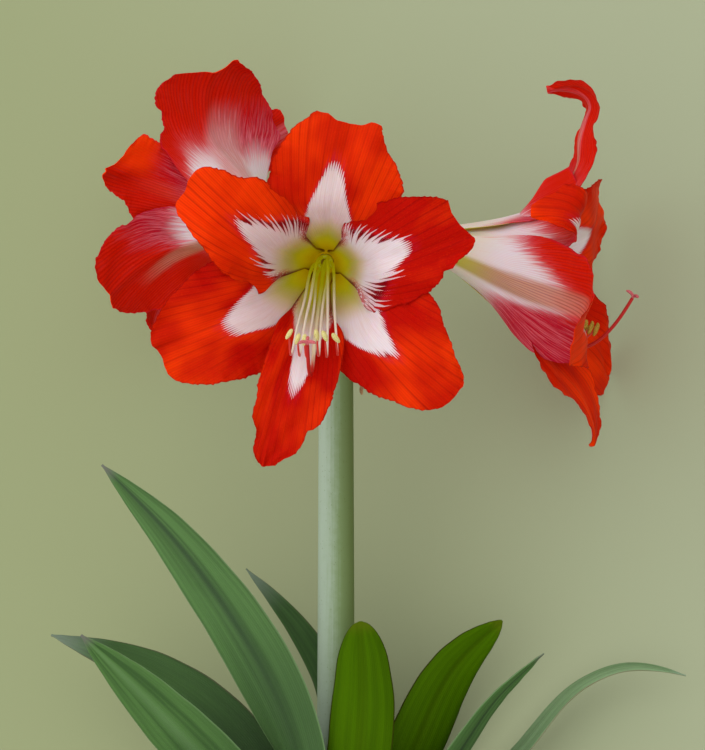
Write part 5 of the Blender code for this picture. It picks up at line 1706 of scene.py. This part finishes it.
@dataclass
class Bract:
    """A withered bract that hangs from the head of the scape."""
    name: str
    way: int
    skin: bpy.types.Material
    length: float = 58.0
    half_width: float = 8.5
    thickness: float = 0.35
    rows: int = 60
    columns: int = 26

    def points(self, t: np.ndarray, v: np.ndarray) -> np.ndarray:
        """Middle points of the bract."""
        head = PLANT.head_radius + 0.9
        bulge = 9.0 * math.sin(math.radians(60)) * ease(0.0, 0.45, t) - 5.0 * ease(0.5, 1.0, t)
        reach = self.half_width * np.maximum(1 - t ** 2.2, 0.12) * v
        bend = 1 / head + (0.16 - 1 / head) * t
        lift = -(1 - np.cos(bend * reach)) / bend
        crumple = 0.7 * ease(0.1, 0.5, t) * wander(t * 1.3 + v * 0.35, 31 + self.way, 2.5, 3)
        x = self.way * (head + bulge + lift + crumple)
        y = -self.way * np.sin(bend * reach) / bend
        z = PLANT.scape_top - 3.0 - self.length * t + 3.0 * t * v * v
        return np.stack([x, y, z], axis=-1)

    def build(self) -> bpy.types.Object:
        """Make the bract, which stands for its node."""
        grid_t, grid_v = np.meshgrid(np.linspace(0, 1, self.rows), np.linspace(-1, 1, self.columns), indexing="ij")
        flat_t, flat_v = grid_t.reshape(-1), grid_v.reshape(-1)
        place = self.points(flat_t, flat_v)
        inward = np.broadcast_to(np.array([-self.way, 0.0, 0.0]), place.shape)
        parts = MeshParts()
        parts.add_sheet(grid_t.shape, place, np.full_like(flat_t, self.thickness), inward,
                        {"along": flat_t, "across": flat_v}, (0, 0))
        return settle(parts.object(self.name.replace("bract", "spathe"), (self.skin,)), "papery", self.name)


@dataclass
class Studio:
    """Pale floor with painted light on its right, soft light and the camera of the photograph."""
    sight: float = 1500.0
    centre: float = 9.17
    lens: float = 129.6
    bright_side: Triple = (-0.72, -0.58, 0.40)
    sky: tuple[float, float] = (0.50, 1.16)
    floor_half: float = 6.0
    lamp_place: Triple = (-1000.0, -4400.0, 1000.0)
    lamp_size: float = 5.5
    lamp_power: float = 38.0
    lamp_colour: Triple = (1.0, 0.985, 0.96)

    def world_point(self, point: Triple) -> Vector:
        """A place in the grown plant's space, in the world."""
        return Vector(PLANT.place(np.array([point]))[0])

    def floor(self) -> None:
        """A wide floor of pale sage, painted lighter toward the right, where the plant's shadow falls."""
        tree = ShaderTree("floor_sage")
        cloud = tree.noise(tree.place(), scale=3.0)
        # Painted light: lighter and cooler toward the right, against the plant's shadow there.
        painted_light_ramp = tree.dot(tree.place(), (0.9, 0.3, 0.0))
        colour = tree.mix(tree.smooth(painted_light_ramp, -0.22, 0.26), srgb(153, 162, 121), srgb(168, 176, 147))
        colour = tree.mix(cloud * 0.25, colour, srgb(155, 163, 124))
        material = tree.finish(colour, 0.9, None, {"Specular IOR Level": 0.1})
        mesh = bpy.data.meshes.new("floor")
        half = self.floor_half
        mesh.from_pydata([(-half, -half, 0), (half, -half, 0), (half, half, 0), (-half, half, 0)], [], [(0, 1, 2, 3)])
        mesh.materials.append(material)
        linked("floor", mesh)

    def lamp(self) -> None:
        """One large square soft lamp on the upper left, which looks at the plant."""
        data = bpy.data.lights.new("key", "AREA")
        data.shape = "SQUARE"
        data.size, data.energy, data.color = self.lamp_size, self.lamp_power, self.lamp_colour
        lamp = linked("key", data)
        where, target = self.world_point(self.lamp_place), self.world_point((0.0, 0.0, 0.0))
        lamp.matrix_world = Matrix.Translation(where) @ (target - where).to_track_quat("-Z", "Y").to_matrix().to_4x4()

    def lit_sky(self) -> None:
        """A sky that is brighter on the upper left."""
        world = bpy.data.worlds.new("soft_sky")
        world.use_nodes = True
        tree = NodeTree(world.node_tree)
        left = (np.array(PLANT.matrix())[:3, :3] @ unit(np.array(self.bright_side))).tolist()
        toward = tree.dot(tree.out(tree.node("ShaderNodeTexCoord"), "Generated"), left)
        strength = self.sky[0] + (self.sky[1] - self.sky[0]) * tree.smooth(toward, -0.5, 1.0)
        background = world.node_tree.nodes["Background"]
        background.inputs["Color"].default_value = (1.0, 0.99, 0.97, 1.0)
        tree.feed(background.inputs["Strength"], strength)
        bpy.context.scene.world = world

    def camera(self) -> None:
        """The camera of the photograph, which looks down on the lying plant."""
        data = bpy.data.cameras.new("camera")
        data.sensor_fit = "VERTICAL"
        data.sensor_height = 36.0
        data.lens = self.lens
        data.clip_end = 20.0
        camera = linked("camera", data)
        camera.matrix_world = (PLANT.matrix() @ Matrix.Translation((self.centre * MM, -self.sight * MM, 0.0))
                               @ Matrix.Rotation(math.pi / 2, 4, "X"))
        bpy.context.scene.camera = camera

    def build(self) -> None:
        """Set the whole studio up."""
        scene = bpy.context.scene
        scene.view_settings.view_transform = "Standard"
        self.floor()
        self.lamp()
        self.lit_sky()
        self.camera()


@dataclass
class Amaryllis:
    """Every piece of the plant, built in order."""

    def blooms(self) -> None:
        """Petals, stamens, styles and ovaries."""
        petals = PetalFinish()
        inner, outer = petals.inner(), petals.outer()
        filament = FilamentFinish("filament_pale", srgb(156, 158, 20), srgb(230, 220, 202), srgb(216, 66, 56),
                                  (0.82, 0.90)).material()
        style = FilamentFinish("style_red", srgb(156, 158, 20), srgb(226, 214, 180), srgb(190, 20, 16),
                               (0.66, 0.76)).material()
        anther = GrainFinish("anther_cream", srgb(236, 230, 164), srgb(206, 190, 104)).material()
        # Painted shade: a darker copy of the anthers for the side blooms, whose anthers lie in shade.
        shaded_anther = GrainFinish("anther_painted_shade", srgb(206, 168, 62), srgb(160, 116, 24)).material()
        pollen = GrainFinish("pollen_cream", srgb(240, 236, 178), srgb(220, 206, 120)).material()
        stigma = GrainFinish("stigma_pink", srgb(226, 130, 136), srgb(190, 70, 80)).material()
        stalk = StalkFinish().material()
        grains = GrainScatter("grains_strewn", True)
        for bloom in (FRONT, RIGHT, LEFT):
            Perianth(bloom, inner, outer).build()
            is_front = bloom is FRONT
            # The side blooms get the shaded anthers and pollen.
            stamens = Stamens(bloom, filament, anther if is_front else shaded_anther, pollen if is_front else shaded_anther)
            stamens.build()
            stamens.dust(grains)
            Style(bloom, style, stigma).build(grains)
            Pedicel(bloom, stalk).build()

    def leaves(self) -> None:
        """The eight strap leaves in five tones; leaf_shaded paints shade on the leaves that lie behind others."""
        flesh = FleshFinish("leaf_cut", srgb(214, 220, 176), srgb(170, 186, 120)).material()
        bluish = LeafFinish("leaf_bluish", srgb(88, 128, 68), srgb(64, 98, 48), srgb(44, 66, 40),
                            srgb(112, 112, 104), srgb(112, 142, 94), 0.8, wax=0.5).material()
        folded = LeafFinish("leaf_folded", srgb(82, 122, 60), srgb(54, 88, 38), srgb(104, 140, 88),
                            srgb(112, 112, 104), srgb(100, 130, 84), 0.5, wax=0.4).material()
        # Painted shade: a darker copy of the green for leaves that lie in shade behind others.
        shaded = LeafFinish("leaf_shaded", srgb(62, 98, 42), srgb(44, 74, 28), srgb(40, 60, 32),
                            srgb(116, 132, 114), srgb(92, 86, 62), wax=0.15, tip_from=0.86).material()
        yellow = LeafFinish("leaf_yellow_green", srgb(70, 107, 0), srgb(59, 92, 0), srgb(56, 80, 0),
                            srgb(84, 104, 10), srgb(44, 30, 8), 0.5, wax=0.02, gloss=0.02).material()
        pale = LeafFinish("leaf_pale", srgb(122, 152, 104), srgb(84, 118, 64), srgb(68, 102, 50),
                          srgb(126, 150, 126), srgb(124, 108, 80), wax=0.7).material()
        tones = {"leaf_left_tall": bluish, "leaf_left_low_front": folded, "leaf_left_low_back": shaded,
                 "leaf_behind_scape": shaded, "leaf_front_blunt": yellow, "leaf_right_broad": yellow,
                 "leaf_right_narrow": bluish, "leaf_right_arching": pale}
        for number, leaf in enumerate(LEAVES):
            LeafBlade(leaf, tones[leaf.name], flesh, number + 1).build()

    def stem(self) -> None:
        """The stalk, the neck and the bracts."""
        flesh = FleshFinish("scape_cut", srgb(214, 220, 170), srgb(168, 186, 110)).material()
        layers = FleshFinish("neck_cut", srgb(226, 222, 190), srgb(190, 180, 130)).material()
        Scape(ScapeFinish().material(), flesh).build()
        NeckSleeve(PaperyFinish("neck_dry").material(), layers).build()
        CutBundles(GrainFinish("bundle_ends", srgb(150, 158, 84), srgb(116, 122, 52)).material()).build()
        dry = PaperyFinish("bract_dry", srgb(206, 172, 126), srgb(140, 92, 58), 9.0).material()
        Bract("bract_right", 1, dry).build()
        Bract("bract_left", -1, dry).build()

    def build(self) -> None:
        """Build all of it."""
        self.blooms()
        self.leaves()
        self.stem()


def main() -> None:
    """Load the frame, dress the plant and note its sizes."""
    logging.basicConfig(level=logging.INFO, format="%(name)s %(message)s")
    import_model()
    Studio().build()
    Amaryllis().build()
    bpy.context.view_layer.update()


if __name__ == "__main__":
    main()
